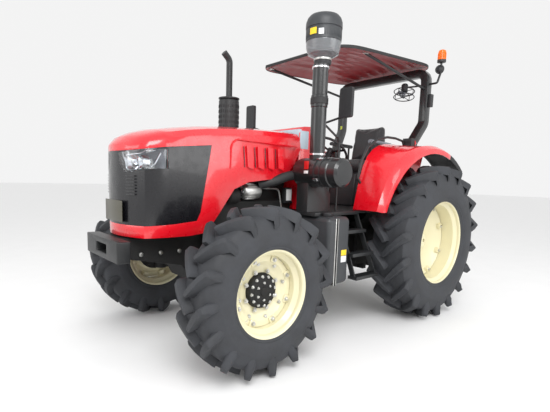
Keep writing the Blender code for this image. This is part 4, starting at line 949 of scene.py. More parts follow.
@dataclass
class Tyre:
    """A deep-lug tractor tyre: its carcass, beads and two rows of slanting bars."""

    node: str
    side: Side
    radius: float
    width: float
    bead: float
    lugs: int
    lug_depth: float
    lug_width: float
    slant: float

    def __post_init__(self) -> None:
        """Take the wheel's centre from the frame."""
        low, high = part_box(self.node)
        self.centre = ((low[0] + high[0]) / 2 - AXLE_X, (low[1] + high[1]) / 2, self.radius)

    def carcass(self, piece: Piece) -> None:
        """Add the casing with its beads, rim ribs, sidewalls and crown.

        Args:
            piece: the tyre.
        """
        half = self.width / 2
        base = self.radius - self.lug_depth
        wall = base - self.bead
        rows = [
            (self.bead + 0.002, half - 0.030), (self.bead + 0.018, half - 0.018),
            (self.bead + 0.030, half - 0.010), (self.bead + 0.038, half - 0.012),
            (self.bead + 0.046, half - 0.006), (self.bead + 0.30 * wall, half - 0.001),
            (self.bead + 0.50 * wall, half), (self.bead + 0.56 * wall, half - 0.003),
            (self.bead + 0.60 * wall, half - 0.008), (self.bead + 0.80 * wall, half - 0.022),
            (base - 0.018, half - 0.045), (base - 0.004, half * 0.58), (base, half * 0.3),
            (base + 0.001, 0.0),
        ]
        inner = [(self.bead + 0.002, half - 0.06), (self.bead + 0.05, half - 0.045)]
        section = inner[::-1] + rows + [(r, -a) for r, a in reversed(rows[:-1])] + [(r, -a) for r, a in inner]
        piece.turned(section, self.centre, Axis.Y, Finishes.TYRE, 96, closed=True)

    def lug(self, way: float) -> Piece:
        """Return one bar, about the wheel's centre, running out to one shoulder.

        Args:
            way: which shoulder, as the sign of Y.

        Returns:
            The bar.
        """
        half = self.width / 2
        top, base = self.radius, self.radius - self.lug_depth
        stations = [
            (1.00, -0.035, top - 0.001, base - 0.012, 0.60), (0.92, 0.02, top, base - 0.012, 0.85),
            (0.62, 0.32, top - 0.001, base - 0.012, 1.0), (0.30, 0.64, top - 0.005, base - 0.02, 1.0),
            (0.06, 0.90, top - 0.014, base - 0.035, 1.05), (0.0, 0.975, top - 0.026, base - 0.06, 1.05),
            (-0.04, 0.985, top - 0.5 * self.lug_depth - 0.02, base - 0.09, 1.0),
            (-0.07, 0.975, base - 0.055, base - 0.12, 0.85), (-0.085, 0.955, base - 0.09, base - 0.15, 0.5),
        ]
        tops, feet = [], []
        for turn, across, high, low, _ in stations:
            angle = turn * self.slant
            inset = half * (0.86 if across > 0.9 else across * 0.95)
            tops.append(spoke(Axis.Y, angle) * high + Vector((0.0, way * half * across, 0.0)))
            feet.append(spoke(Axis.Y, angle) * low + Vector((0.0, way * inset, 0.0)))
        rings = []
        for i, station in enumerate(stations):
            ahead = tops[min(i + 1, len(tops) - 1)] - tops[max(i - 1, 0)]
            up = (tops[i] - feet[i]).normalized()
            across = ahead.cross(up).normalized() * (self.lug_width / 2 * station[4])
            chamfer = up * 0.007
            rings.append([feet[i] - across * 1.55, tops[i] - across - chamfer, tops[i] - across * 0.8,
                          tops[i] + across * 0.8, tops[i] + across - chamfer, feet[i] + across * 1.55])
        made = Piece("lug")
        made.loft(rings, Finishes.TYRE)
        return made

    def build(self) -> None:
        """Build the tyre on its wheel."""
        piece = Piece(f"{self.node}_lugged")
        self.carcass(piece)
        pitch = 2.0 * math.pi / self.lugs
        piece.ring(self.lug(1.0), self.lugs, self.centre, Axis.Y)
        piece.ring(self.lug(-1.0), self.lugs, self.centre, Axis.Y, pitch / 2)
        piece.on(BODY_OF[self.node], [self.node], 38.0)


@dataclass
class Rim:
    """A pressed wheel: flanges, drop-centre barrel, dished disc, brackets and bolts."""

    node: str
    side: Side
    radius: float
    bead: float
    width: float
    disc: Sequence[Pair]
    brackets: int
    bolt_ring: float
    bolt_face: float
    bolts: int

    def build(self) -> None:
        """Build the wheel's metal on its body."""
        low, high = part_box(self.node)
        centre = ((low[0] + high[0]) / 2 - AXLE_X, (low[1] + high[1]) / 2 if "rear" not in self.node else
                  self.side.value * 0.89, self.radius)
        way = self.side.value
        piece = Piece(f"{self.node}_pressed")
        half, flange = self.width / 2, self.bead + 0.025
        outside = [
            (flange - 0.003, half), (flange, half - 0.004), (flange - 0.004, half - 0.010),
            (self.bead + 0.004, half - 0.014), (self.bead, half - 0.022), (self.bead - 0.001, half - 0.045),
            (self.bead - 0.030, half - 0.075), (self.bead - 0.032, 0.0),
        ]
        inside = [(r - 0.008, a) for r, a in outside[1:]]
        skin = outside + [(r, -a) for r, a in reversed(outside[:-1])]
        lining = [(flange - 0.012, half - 0.001), *inside[2:], *[(r, -a) for r, a in reversed(inside[2:-1])],
                  (flange - 0.012, -half + 0.001)]
        piece.turned(skin + lining[::-1], centre, Axis.Y, Finishes.CREAM, 96, closed=True, way=way)
        piece.turned(self.disc, centre, Axis.Y, Finishes.CREAM, 96, closed=True, way=way)
        self.brackets_on(piece, centre, way)
        head = bolt(0.012, 0.014 * way, Axis.Y, (0.0, self.bolt_face * way, self.bolt_ring))
        piece.ring(head, self.bolts, centre, Axis.Y, 0.2)
        self.valve(piece, centre, way)
        piece.on(BODY_OF[self.node], [self.node], 35.0)

    def brackets_on(self, piece: Piece, centre: Point, way: float) -> None:
        """Add the brackets welded between the barrel and the disc, with their clamp bolts.

        Args:
            piece: the wheel.
            centre: the wheel's centre.
            way: outwards, as the sign of Y.
        """
        reach = self.bead - 0.036
        near = max(r for r, _ in self.disc)
        out = max(a for r, a in self.disc if r > near - 0.01)
        block = Piece("bracket")
        corners = sorted((way * (out + 0.012), way * (out - 0.055)))
        block.block((-0.030, corners[0], near - 0.045), (0.030, corners[1], reach), Finishes.CREAM, 0.008)
        piece.ring(block, self.brackets, centre, Axis.Y, 0.39)
        head = bolt(0.013, 0.016 * way, Axis.Y, (0.0, way * (out + 0.012), near - 0.022))
        piece.ring(head, self.brackets, centre, Axis.Y, 0.39)

    def valve(self, piece: Piece, centre: Point, way: float) -> None:
        """Add the tyre valve, bent out through the barrel.

        Args:
            piece: the wheel.
            centre: the wheel's centre.
            way: outwards, as the sign of Y.
        """
        foot = Vector(centre) + spoke(Axis.Y, 2.4) * (self.bead - 0.05)
        top = Vector(centre) + spoke(Axis.Y, 2.4) * (self.bead - 0.075)
        step = Vector((0.0, way, 0.0))
        piece.rod([tuple(foot + step * 0.06), tuple(top + step * 0.07), tuple(top + step * 0.105)], 0.005,
                  Finishes.CHROME, 0.01, 8)


@dataclass
class FrontHub:
    """A front wheel's cast planet hub with its cover bolts and studs."""

    side: Side
    radius: float = 0.62
    face: float = 0.053

    def build(self) -> None:
        """Build the hub on its wheel."""
        node = f"front_hub_{self.side.word}"
        low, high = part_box(node)
        way = self.side.value
        rim_low, rim_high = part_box(f"front_rim_{self.side.word}")
        centre = ((low[0] + high[0]) / 2 - AXLE_X, (rim_low[1] + rim_high[1]) / 2, self.radius)
        out = max(abs(low[1]), abs(high[1])) - abs(centre[1])
        back = min(abs(low[1]), abs(high[1])) - abs(centre[1])
        piece = Piece(f"{node}_cast")
        profile = [
            (0.020, out - 0.001), (0.032, out - 0.003), (0.036, out - 0.010), (0.085, out - 0.012),
            (0.090, out - 0.016), (0.096, out - 0.020), (0.118, out - 0.022), (0.126, out - 0.030),
            (0.1295, out - 0.040), (0.1295, -0.0125), (0.164, -0.0125), (0.164, -0.032), (0.139, -0.034),
            (0.139, back),
        ]
        piece.turned(profile, centre, Axis.Y, Finishes.CAST, 64, way=way)
        rings = ((0.0095, 0.011, out - 0.023, 0.106, 12, 0.1), (0.008, 0.010, out - 0.013, 0.062, 6, 0.0),
                 (0.0125, 0.016, 0.012, 0.147, 8, 0.39))
        for size, height, along, reach, count, start in rings:
            head = bolt(size, height * way, Axis.Y, (0.0, way * along, reach))
            piece.ring(head, count, centre, Axis.Y, start)
        piece.on(BODY_OF[node], [node])


# ---------------------------------------------------------------- studio


@dataclass
class Studio:
    """A pale floor, a bright surround, soft lamps and the camera."""

    eye: Point = (3.136, 3.092, 1.421)
    heading: float = -2.274
    tilt: float = -0.135
    roll: float = 0.028
    lens: float = 26.5
    shift: Pair = (0.0178, 0.0509)

    def camera(self) -> None:
        """Place the camera."""
        data = bpy.data.cameras.new("camera")
        data.sensor_width = 36.0
        data.lens = self.lens
        data.shift_x, data.shift_y = self.shift
        made = bpy.data.objects.new("camera", data)
        bpy.context.scene.collection.objects.link(made)
        level = math.cos(self.tilt)
        ahead = Vector((level * math.cos(self.heading), level * math.sin(self.heading), math.sin(self.tilt)))
        right = ahead.cross(Vector((0.0, 0.0, 1.0))).normalized()
        up = right.cross(ahead)
        across = right * math.cos(self.roll) + up * math.sin(self.roll)
        above = up * math.cos(self.roll) - right * math.sin(self.roll)
        turn = Matrix((across, above, -ahead)).transposed().to_4x4()
        made.matrix_world = Matrix.Translation(self.eye) @ turn
        bpy.context.scene.camera = made

    def lamp(self, name: str, place: Point, aim: Point, size: Pair, power: float) -> None:
        """Add a soft rectangular lamp that looks at a point.

        Args:
            name: the lamp's name.
            place: where it hangs.
            aim: the point it looks at.
            size: its width and height.
            power: its power.
        """
        data = bpy.data.lights.new(name, "AREA")
        data.shape = "RECTANGLE"
        data.size, data.size_y = size
        data.energy = power
        made = bpy.data.objects.new(name, data)
        bpy.context.scene.collection.objects.link(made)
        made.location = place
        made.rotation_euler = (Vector(aim) - Vector(place)).to_track_quat("-Z", "Y").to_euler()

    def build(self) -> None:
        """Build the floor, the surround and the lamps."""
        self.camera()
        mesh = bpy.data.meshes.new("floor")
        reach = 60.0
        mesh.from_pydata([(-reach, -reach, 0), (reach, -reach, 0), (reach, reach, 0), (-reach, reach, 0)], [],
                         [(0, 1, 2, 3)])
        floor = bpy.data.objects.new("floor", mesh)
        bpy.context.scene.collection.objects.link(floor)
        shader = Shader("floor_paper")
        fine = shader.noise(3.0, 2.0)
        mesh.materials.append(shader.close({
            "Base Color": shader.shades(fine, (0.86, 0.86, 0.86), (0.9, 0.9, 0.9)),
            "Roughness": 0.75}))
        world = bpy.data.worlds.new("surround")
        world.use_nodes = True
        sky = world.node_tree.nodes["Background"]
        sky.inputs["Color"].default_value = (1.0, 1.0, 1.0, 1.0)
        sky.inputs["Strength"].default_value = 0.9
        bpy.context.scene.world = world
        bpy.context.scene.view_settings.view_transform = "Standard"
        self.lamp("key", (3.5, 4.5, 5.5), (0.0, 0.3, 1.0), (3.5, 3.5), 300.0)
        self.lamp("fill", (-1.5, 6.5, 3.0), (-0.4, 0.0, 1.0), (4.0, 3.0), 110.0)
        self.lamp("front", (6.5, -1.5, 3.0), (1.0, 0.0, 1.0), (3.0, 3.0), 60.0)
        LOG.info("studio: floor, surround, three lamps, camera")


# ---------------------------------------------------------------- bonnet


@dataclass
class Bonnet:
    """The bonnet's louvres, the grille in its mask, the headlamps and the plate."""

    vents: int = 4
    vent_pitch: float = 0.115
    vent_low: float = 1.50
    vent_high: float = 1.69
    first_vent: float = 1.655
    skin_y: float = 0.372
    bead: float = 0.006

    def build(self) -> None:
        """Dress the bonnet and everything on it."""
        carried("hood", Finishes.RED, 0.0015, 30.0)
        carried("nose_mask", Finishes.GLOSS, 0.0015, 30.0)
        carried("number_plate", Finishes.OLIVE, 0.001)
        for side in Side:
            self.louvres(side)
            self.lamp(side)
        self.grille()

    def louvres(self, side: Side) -> None:
        """Add the pressed vents on one side of the bonnet, with black strips behind the blades as painted
        shade in the vent openings.

        Args:
            side: the side.
        """
        piece = Piece(f"louvres_{side.word}")
        skin = self.skin_y * side.value
        proud = skin + 0.002 * side.value
        piece.rod([(2.17, proud, 1.735), (1.50, proud, 1.72)], self.bead, Finishes.RED, sides=8)
        piece.rod([(2.17, proud, 1.735), (2.225, proud, 1.69), (2.235, proud, 1.50)], self.bead, Finishes.RED,
                  0.03, 8)
        blade = Piece("blade")
        outline = [(0.0, self.vent_low), (0.062, self.vent_low + 0.015), (0.078, self.vent_high),
                   (0.020, self.vent_high - 0.006)]
        low, high = sorted((skin, skin + 0.010 * side.value))
        blade.plate(outline, low, high, Finishes.RED, 0.0045)
        piece.row(blade, self.vents, (self.first_vent, 0.0, 0.0), (self.vent_pitch, 0.0, 0.0))
        # Thin black plates stand in for the vent openings: painted shade behind each blade.
        slot = Piece("slot")
        low, high = sorted((skin, skin + 0.0015 * side.value))
        slot.plate([(0.084, self.vent_low + 0.012), (0.092, self.vent_low + 0.014),
                    (0.106, self.vent_high - 0.006), (0.098, self.vent_high - 0.006)],
                   low, high, Finishes.GLOSS, 0.0)
        piece.row(slot, self.vents, (self.first_vent, 0.0, 0.0), (self.vent_pitch, 0.0, 0.0))
        piece.on("hood")

    def lamp(self, side: Side) -> None:
        """Add one headlamp: clear cover, bright bezel, two reflectors and a light guide.

        Args:
            side: the side.
        """
        node = f"headlamp_{side.word}"
        way = side.value
        cover = Piece(f"{node}_cover")
        cover.copy(node, Finishes.LENS, 0.002)
        cover.on("hood", [node])
        inside = Piece(f"{node}_inside")
        for y, x, r in ((0.165, 2.962, 0.048), (0.262, 2.925, 0.044)):
            centre = (x, y * way, 1.522)
            bowl = [(r, 0.014), (r - 0.004, 0.010), (r * 0.72, -0.012), (r * 0.4, -0.026), (0.012, -0.030),
                    (0.0005, -0.030), (0.0005, -0.036), (r, -0.036)]
            inside.turned(bowl, centre, Axis.X, Finishes.CHROME, 40, closed=True)
            bulb = [(0.0005, 0.008), (0.010, 0.004), (0.016, -0.008), (0.018, -0.028), (0.0005, -0.028)]
            inside.turned(bulb, centre, Axis.X, Finishes.WHITE, 24)
        guide = [(2.992, 0.112 * way, 1.555), (2.975, 0.125 * way, 1.470), (2.93, 0.215 * way, 1.462),
                 (2.86, 0.315 * way, 1.505), (2.825, 0.345 * way, 1.585)]
        inside.rod(guide, 0.0065, Finishes.CHROME, 0.02, 10)
        upper = [(2.985, 0.115 * way, 1.568), (2.93, 0.215 * way, 1.580), (2.85, 0.320 * way, 1.600)]
        inside.rod(upper, 0.0045, Finishes.CHROME, 0.02, 10)
        inside.shape([(2.955, 0.10 * way, 1.590), (2.945, 0.11 * way, 1.435), (2.79, 0.35 * way, 1.47),
                      (2.79, 0.355 * way, 1.615)], [(0, 1, 2, 3)], Finishes.BEZEL)
        inside.on("hood")

    def grille(self) -> None:
        """Add the mask's ribs below the lamps."""
        piece = Piece("nose_grille")
        bar = Piece("bar")
        half = 0.34
        path = [(3.034 - 0.072 * (y / half) ** 2, y, 0.0) for y in (-0.27, -0.2, -0.1, 0.0, 0.1, 0.2, 0.27)]
        bar.rod(path, 0.005, Finishes.GLOSS, sides=8)
        piece.row(bar, 7, (0.0, 0.0, 1.285), (0.0, 0.0, 0.022))
        piece.on("hood")


# ---------------------------------------------------------------- intake and exhaust


@dataclass
class Intake:
    """The pre-cleaner, its pipe, and the filter canister with its clips and hose."""

    x: float = 1.45
    pipe_y: float = 0.586
    filter_z: float = 1.49
    filter_radius: float = 0.13
    band_end: float = 0.75

    def pre_cleaner(self) -> None:
        """Build the cap, the ribbed band, the smoked bowl and its neck."""
        low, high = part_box("pre_cleaner")
        radius = (high[0] - low[0]) / 2 - 0.004
        centre = ((low[0] + high[0]) / 2 - AXLE_X, (low[1] + high[1]) / 2, 0.0)
        top, foot = high[2], low[2]
        piece = Piece("pre_cleaner_fine")
        cap_and_band = [
            (0.001, top - 0.001), (radius * 0.55, top - 0.003), (radius * 0.80, top - 0.018),
            (radius * 0.92, top - 0.040), (radius * 0.99, top - 0.070), (radius, top - 0.095),
            (radius, top - 0.120), (radius - 0.006, top - 0.124), (radius - 0.006, top - 0.130),
            (radius * 0.99, top - 0.134), (radius * 0.965, top - 0.205), (radius - 0.004, top - 0.212),
            (radius - 0.004, top - 0.226), (radius * 0.93, top - 0.230),
        ]
        piece.turned(cap_and_band, centre, Axis.Z, Finishes.GREY_DARK, 72)
        bowl = [
            (radius * 0.955, top - 0.229), (radius * 0.95, top - 0.275), (radius * 0.85, top - 0.325),
            (radius * 0.52, top - 0.352), (0.062, top - 0.360), (0.060, top - 0.353),
            (radius * 0.5, top - 0.346), (radius * 0.82, top - 0.318), (radius * 0.93, top - 0.273),
            (radius * 0.935, top - 0.229),
        ]
        piece.turned(bowl, centre, Axis.Z, Finishes.BOWL, 72, closed=True)
        rib = Piece("rib")
        rib.block((-0.0022, radius * 0.955, top - 0.205), (0.0022, radius * 0.985, top - 0.138),
                  Finishes.GREY_DARK, 0.0008)
        piece.ring(rib, 60, centre, Axis.Z)
        piece.turned([(0.070, top - 0.352), (0.074, top - 0.356), (0.074, foot + 0.02), (0.070, foot + 0.001),
                      (0.05, foot + 0.001)], centre, Axis.Z, Finishes.PLASTIC, 48)
        clamp = [(0.0755, foot + 0.052), (0.0775, foot + 0.050), (0.0775, foot + 0.036),
                 (0.0755, foot + 0.034)]
        piece.turned(clamp, centre, Axis.Z, Finishes.STEEL, 48)
        self.label(piece, centre, radius, top - 0.168, 0.05, 1.10, 0.42, Finishes.YELLOW)
        self.label(piece, centre, radius, top - 0.180, 0.045, 0.62, 0.28, Finishes.WHITE)
        piece.on("chassis", ["pre_cleaner"])

    def label(self, piece: Piece, centre: Point, radius: float, z: float, height: float, angle: float,
              spread: float, finish: Finish) -> None:
        """Wrap a blank label round the band, with its middle at an angle from ahead.

        Args:
            piece: what it is on.
            centre: the band's axis.
            radius: the band's radius.
            z: the label's mid height.
            height: its height.
            angle: its middle, round the band.
            spread: its width, as an angle.
            finish: its finish.
        """
        steps = 8
        rings = []
        for step in range(steps + 1):
            turn = angle + spread * (step / steps - 0.5)
            out = Vector((math.sin(turn + 0.35), math.cos(turn + 0.35), 0.0))
            rings.append([Vector(centre) + out * r + Vector((0.0, 0.0, z + h))
                          for r, h in ((radius * 0.98, -height / 2), (radius * 0.995, -height / 2),
                                       (radius * 0.998, height / 2), (radius * 0.98, height / 2))])
        piece.loft(rings, finish)

    def canister(self) -> None:
        """Dress the filter canister: ribs, end cap, clips, clamps, label and the hose to the engine."""
        carried("air_filter", Finishes.SATIN_GLOSS, 0.0, 30.0)
        end = self.band_end
        radius = self.filter_radius
        centre = (self.x, 0.0, self.filter_z)
        piece = Piece("filter_fittings")
        for along in (end - 0.018, end - 0.075, end - 0.085):
            bead = [(radius - 0.002, along - 0.004), (radius + 0.003, along - 0.003),
                    (radius + 0.003, along + 0.003), (radius - 0.002, along + 0.004)]
            piece.turned(bead, centre, Axis.Y, Finishes.PLASTIC, 64)
        rib = Piece("end_rib")
        rib.block((-0.0025, end - 0.002, 0.035), (0.0025, end + 0.006, 0.108), Finishes.PLASTIC, 0.001)
        piece.ring(rib, 16, centre, Axis.Y)
        for r in (0.112, 0.034):
            piece.turned([(r - 0.003, end - 0.002), (r - 0.002, end + 0.007), (r + 0.002, end + 0.007),
                          (r + 0.003, end - 0.002)], centre, Axis.Y, Finishes.PLASTIC, 64)
        clip = Piece("clip")
        clip.block((-0.012, end - 0.095, radius - 0.001), (0.012, end - 0.035, radius + 0.009),
                   Finishes.CHROME, 0.003)
        piece.ring(clip, 4, centre, Axis.Y, 0.5)
        bands = (
            ([(0.071, 1.640), (0.074, 1.642), (0.074, 1.656), (0.071, 1.658)], Finishes.CHROME),
            ([(0.072, 2.075), (0.078, 2.08), (0.078, 2.13), (0.072, 2.135)], Finishes.RUBBER),
            ([(0.071, 2.375), (0.0745, 2.377), (0.0745, 2.39), (0.071, 2.392)], Finishes.CHROME),
        )
        for band, finish in bands:
            piece.turned(band, (self.x, self.pipe_y, 0.0), Axis.Z, finish, 48)
        piece.block((self.x + 0.122, 0.56, 1.515), (self.x + 0.131, 0.61, 1.585), Finishes.RED_LABEL, 0.001)
        piece.block((self.x + 0.124, 0.56, 1.478), (self.x + 0.131, 0.61, 1.503), Finishes.WHITE, 0.001)
        piece.rod([(self.x + 0.02, 0.40, 1.47), (self.x + 0.16, 0.385, 1.455), (self.x + 0.30, 0.34, 1.395),
                   (self.x + 0.42, 0.28, 1.37)], 0.043, Finishes.RUBBER, 0.08, 20)
        piece.on("chassis")

    def build(self) -> None:
        """Build the whole intake."""
        self.pre_cleaner()
        self.canister()


@dataclass
class Exhaust:
    """The muffler and its pipes, with the shield's end bands and rows of dark slot marks, painted shade in
    the shield's openings.
    """

    x: float = 1.65
    y: float = -0.50
    shield: float = 0.107

    def build(self) -> None:
        """Dress the exhaust."""
        carried("exhaust", Finishes.SATIN, 0.0, 30.0)
        piece = Piece("exhaust_fittings")
        centre = (self.x, self.y, 0.0)
        for z in (1.60, 2.235):
            piece.turned([(self.shield - 0.004, z - 0.008), (self.shield + 0.001, z - 0.006),
                          (self.shield + 0.001, z + 0.006), (self.shield - 0.004, z + 0.008)], centre, Axis.Z,
                         Finishes.SATIN, 48)
        # Each slot is a dark block set into the shield, not an opening: painted shade.
        for row in range(10):
            hole = Piece("slot")
            hole.block((-0.004, self.shield - 0.003, 0.0), (0.004, self.shield + 0.0005, 0.03),
                       Finishes.RUBBER, 0.001)
            piece.ring(hole, 26, (self.x, self.y, 1.67 + row * 0.052), Axis.Z, 0.06 * (row % 2))
        piece.on("chassis")


# ---------------------------------------------------------------- platform, seat and roof


@dataclass
class Canopy:
    """A domed sheet with pressed ribs, its underside in a darker red as painted shade, its edge trim and its
    struts.
    """

    trim: float = 0.010
    ribs: int = 9

    front: float = 1.18
    rear: float = -0.40
    half_front: float = 0.61
    half_rear: float = 0.64
    crown: float = 0.09
    under_front: float = 2.625
    under_rear: float = 2.705
    post_face: float = -0.255
    corner: float = 0.13
    thick: float = 0.012
    rib_depth: float = 0.006
    strut_x: float = -0.25
    strut_y: float = 0.592

    def height(self, t: float, s: float) -> float:
        """Return the height of the sheet's top.

        Args:
            t: share of the way from the front to the rear.
            s: share of the half width, from -1 to 1.

        Returns:
            The height.
        """
        x = self.front + (self.rear - self.front) * t
        slope = (self.under_rear - self.under_front) / (self.front - self.post_face)
        crown = self.crown * (1.0 - abs(s) ** 2.6) * (1.0 - abs(2.0 * t - 1.0) ** 3.5)
        return self.under_front + slope * (self.front - x) + 0.028 + crown

    def build(self) -> None:
        """Build the roof on the chassis."""
        piece = Piece("canopy_sheet")
        columns, rows = 48, 40
        top, under = [], []
        for i in range(columns + 1):
            t = i / columns
            x = self.front + (self.rear - self.front) * t
            half = self.half_front + (self.half_rear - self.half_front) * t
            half -= self.corner * abs(2.0 * t - 1.0) ** 9
            line_top, line_under = [], []
            for j in range(rows + 1):
                s = -1.0 + 2.0 * j / rows
                y = s * half
                z = self.height(t, s)
                inner = min(1.0, 9.0 * (1.0 - abs(s))) * min(1.0, 12.0 * min(t, 1.0 - t) + 0.02)
                rib = self.rib_depth * max(0.0, math.cos(s * self.ribs * math.pi)) ** 0.5 * inner
                line_top.append((x, y, z))
                line_under.append((x, y, z - self.thick - rib - self.thick * (1.0 - inner)))
            top.append(line_top)
            under.append(line_under)
        piece.loft(top, Finishes.RED, caps=False, around=False)
        # The underside in the darker red copy is painted shade.
        piece.loft(under, Finishes.DEEP_RED, caps=False, around=False)
        rims = [skin[0] + [row[-1] for row in skin[1:-1]] + skin[-1][::-1] + [row[0] for row in skin[-2:0:-1]]
                for skin in (top, under)]
        rings = []
        for a, b in zip(*rims):
            middle = (Vector(a) + Vector(b)) / 2
            out = Vector((middle.x - 0.39, middle.y, 0.0)).normalized()
            thick, tall = self.trim * 0.4, self.trim * 1.5
            rings.append([middle + out * thick * math.cos(q) + Vector((0, 0, tall * math.sin(q)))
                          for q in (2 * math.pi * k / 8 for k in range(8))])
        piece.loft(rings, Finishes.RUBBER, closed=True)
        under_at = {-1.0: (1.08, 0.50, 2.54), 1.0: (0.78, 0.545, 2.48)}
        for way, (x, y, rear_z) in under_at.items():
            z = self.height((self.front - x) / (self.front - self.rear), 1.0) - 0.01
            piece.rod([(self.strut_x, self.strut_y * way, rear_z), (x, y * way, z - 0.012)], 0.014,
                      Finishes.SATIN, sides=12)
            piece.block((x - 0.03, y * way - 0.015, z - 0.02), (x + 0.03, y * way + 0.015, z),
                        Finishes.STEEL, 0.002)
        piece.on("chassis", ["canopy"], 40.0)


@dataclass
class Lamps:
    """The beacon on its stalk, and the work lamp beside it."""

    x: float = -0.36
    y: float = 0.72
    base: float = 2.757

    def build(self) -> None:
        """Build the lamps."""
        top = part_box("beacon")[1][2]
        x, y, base = self.x, self.y, self.base
        piece = Piece("beacon_fine")
        socket = [(0.030, base), (0.046, base + 0.003), (0.046, base + 0.028), (0.040, base + 0.030)]
        piece.turned(socket, (x, y, 0.0), Axis.Z, Finishes.PLASTIC, 40)
        lens = [(0.043, base + 0.029), (0.0425, top - 0.035), (0.036, top - 0.012), (0.020, top - 0.003),
                (0.001, top - 0.0005)]
        piece.turned(lens, (x, y, 0.0), Axis.Z, Finishes.BEACON, 40)
        rib = Piece("rib")
        rib.block((-0.001, 0.041, base + 0.034), (0.001, 0.0445, top - 0.04), Finishes.BEACON, 0.0004)
        piece.ring(rib, 32, (x, y, 0.0), Axis.Z)
        stalk = [(-0.30, 0.638, 2.53), (-0.30, y, 2.53), (x, y, 2.65), (x, y, base + 0.01)]
        piece.rod(stalk, 0.0115, Finishes.SATIN, 0.02, 12)
        work = (x - 0.02, y - 0.02, 2.69)
        shell = [(0.020, -0.058), (0.044, -0.030), (0.049, 0.0), (0.045, 0.006)]
        piece.turned(shell, work, Axis.X, Finishes.PLASTIC, 40, way=-1.0)
        piece.turned([(0.001, 0.0075), (0.042, 0.0065)], work, Axis.X, Finishes.LENS, 40, way=-1.0)
        piece.on("chassis", ["beacon"])


@dataclass
class Cushion:
    """A foam pad under vinyl, swollen by a pressure simulation and then smoothed."""

    node: str
    voxel: float = 0.014
    reach: float = 0.024
    shrink: float = 0.97

    def build(self) -> None:
        """Swell the pad and stand it in for its CAD solid."""
        piece = Piece(f"{self.node}_padded")
        piece.copy(self.node, Finishes.SEAT, 0.012)
        made = piece.object(AXLE_X)
        mesh = made.data
        middle = sum((v.co for v in mesh.vertices), Vector()) / len(mesh.vertices)
        for v in mesh.vertices:
            v.co = middle + (v.co - middle) * self.shrink
        remesh = made.modifiers.new("Voxels", "REMESH")
        remesh.mode = "VOXEL"
        remesh.voxel_size = self.voxel
        self.apply(made)
        self.swell(made)
        made.data.materials.clear()
        made.data.materials.append(Finishes.SEAT.material())
        soft = made.modifiers.new("Smooth", "SMOOTH")
        soft.factor, soft.iterations = 0.5, 4
        self.apply(made)
        fine = made.modifiers.new("Fine", "SUBSURF")
        fine.levels = fine.render_levels = 1
        self.apply(made)
        self.keep_inside(made)
        made.data.shade_smooth()
        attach(made, BODY_OF[self.node])
        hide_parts(self.node)
        LOG.info("%s: %d faces", made.name, len(made.data.polygons))

    def apply(self, made: bpy.types.Object) -> None:
        """Turn an object's modifiers into its mesh.

        Args:
            made: the object.
        """
        bpy.context.view_layer.update()
        result = bpy.data.meshes.new_from_object(made.evaluated_get(bpy.context.evaluated_depsgraph_get()))
        made.modifiers.clear()
        made.data = result

    def swell(self, made: bpy.types.Object) -> None:
        """Inflate the pad a little with cloth pressure, each point moving no more than its reach.

        Args:
            made: the pad.
        """
        start = [v.co.copy() for v in made.data.vertices]
        cloth = made.modifiers.new("Cover", "CLOTH")
        cloth.settings.use_pressure = True
        cloth.settings.uniform_pressure_force = 4.0
        cloth.settings.effector_weights.gravity = 0.0
        for step in range(1, 21):
            bpy.context.scene.frame_set(step)
        result = bpy.data.meshes.new_from_object(made.evaluated_get(bpy.context.evaluated_depsgraph_get()))
        made.modifiers.clear()
        made.data = result
        for v, old in zip(made.data.vertices, start):
            move = v.co - old
            if move.length > self.reach:
                v.co = old + move.normalized() * self.reach
        bpy.context.scene.frame_set(1)

    def keep_inside(self, made: bpy.types.Object) -> None:
        """Keep the pad's faces out of what it rests on: no lower than its CAD solid's foot.

        Args:
            made: the pad.
        """
        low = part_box(self.node)[0]
        for v in made.data.vertices:
            v.co.z = max(v.co.z, low[2] + 0.001)
            v.co.x = max(v.co.x, low[0] - 0.002)


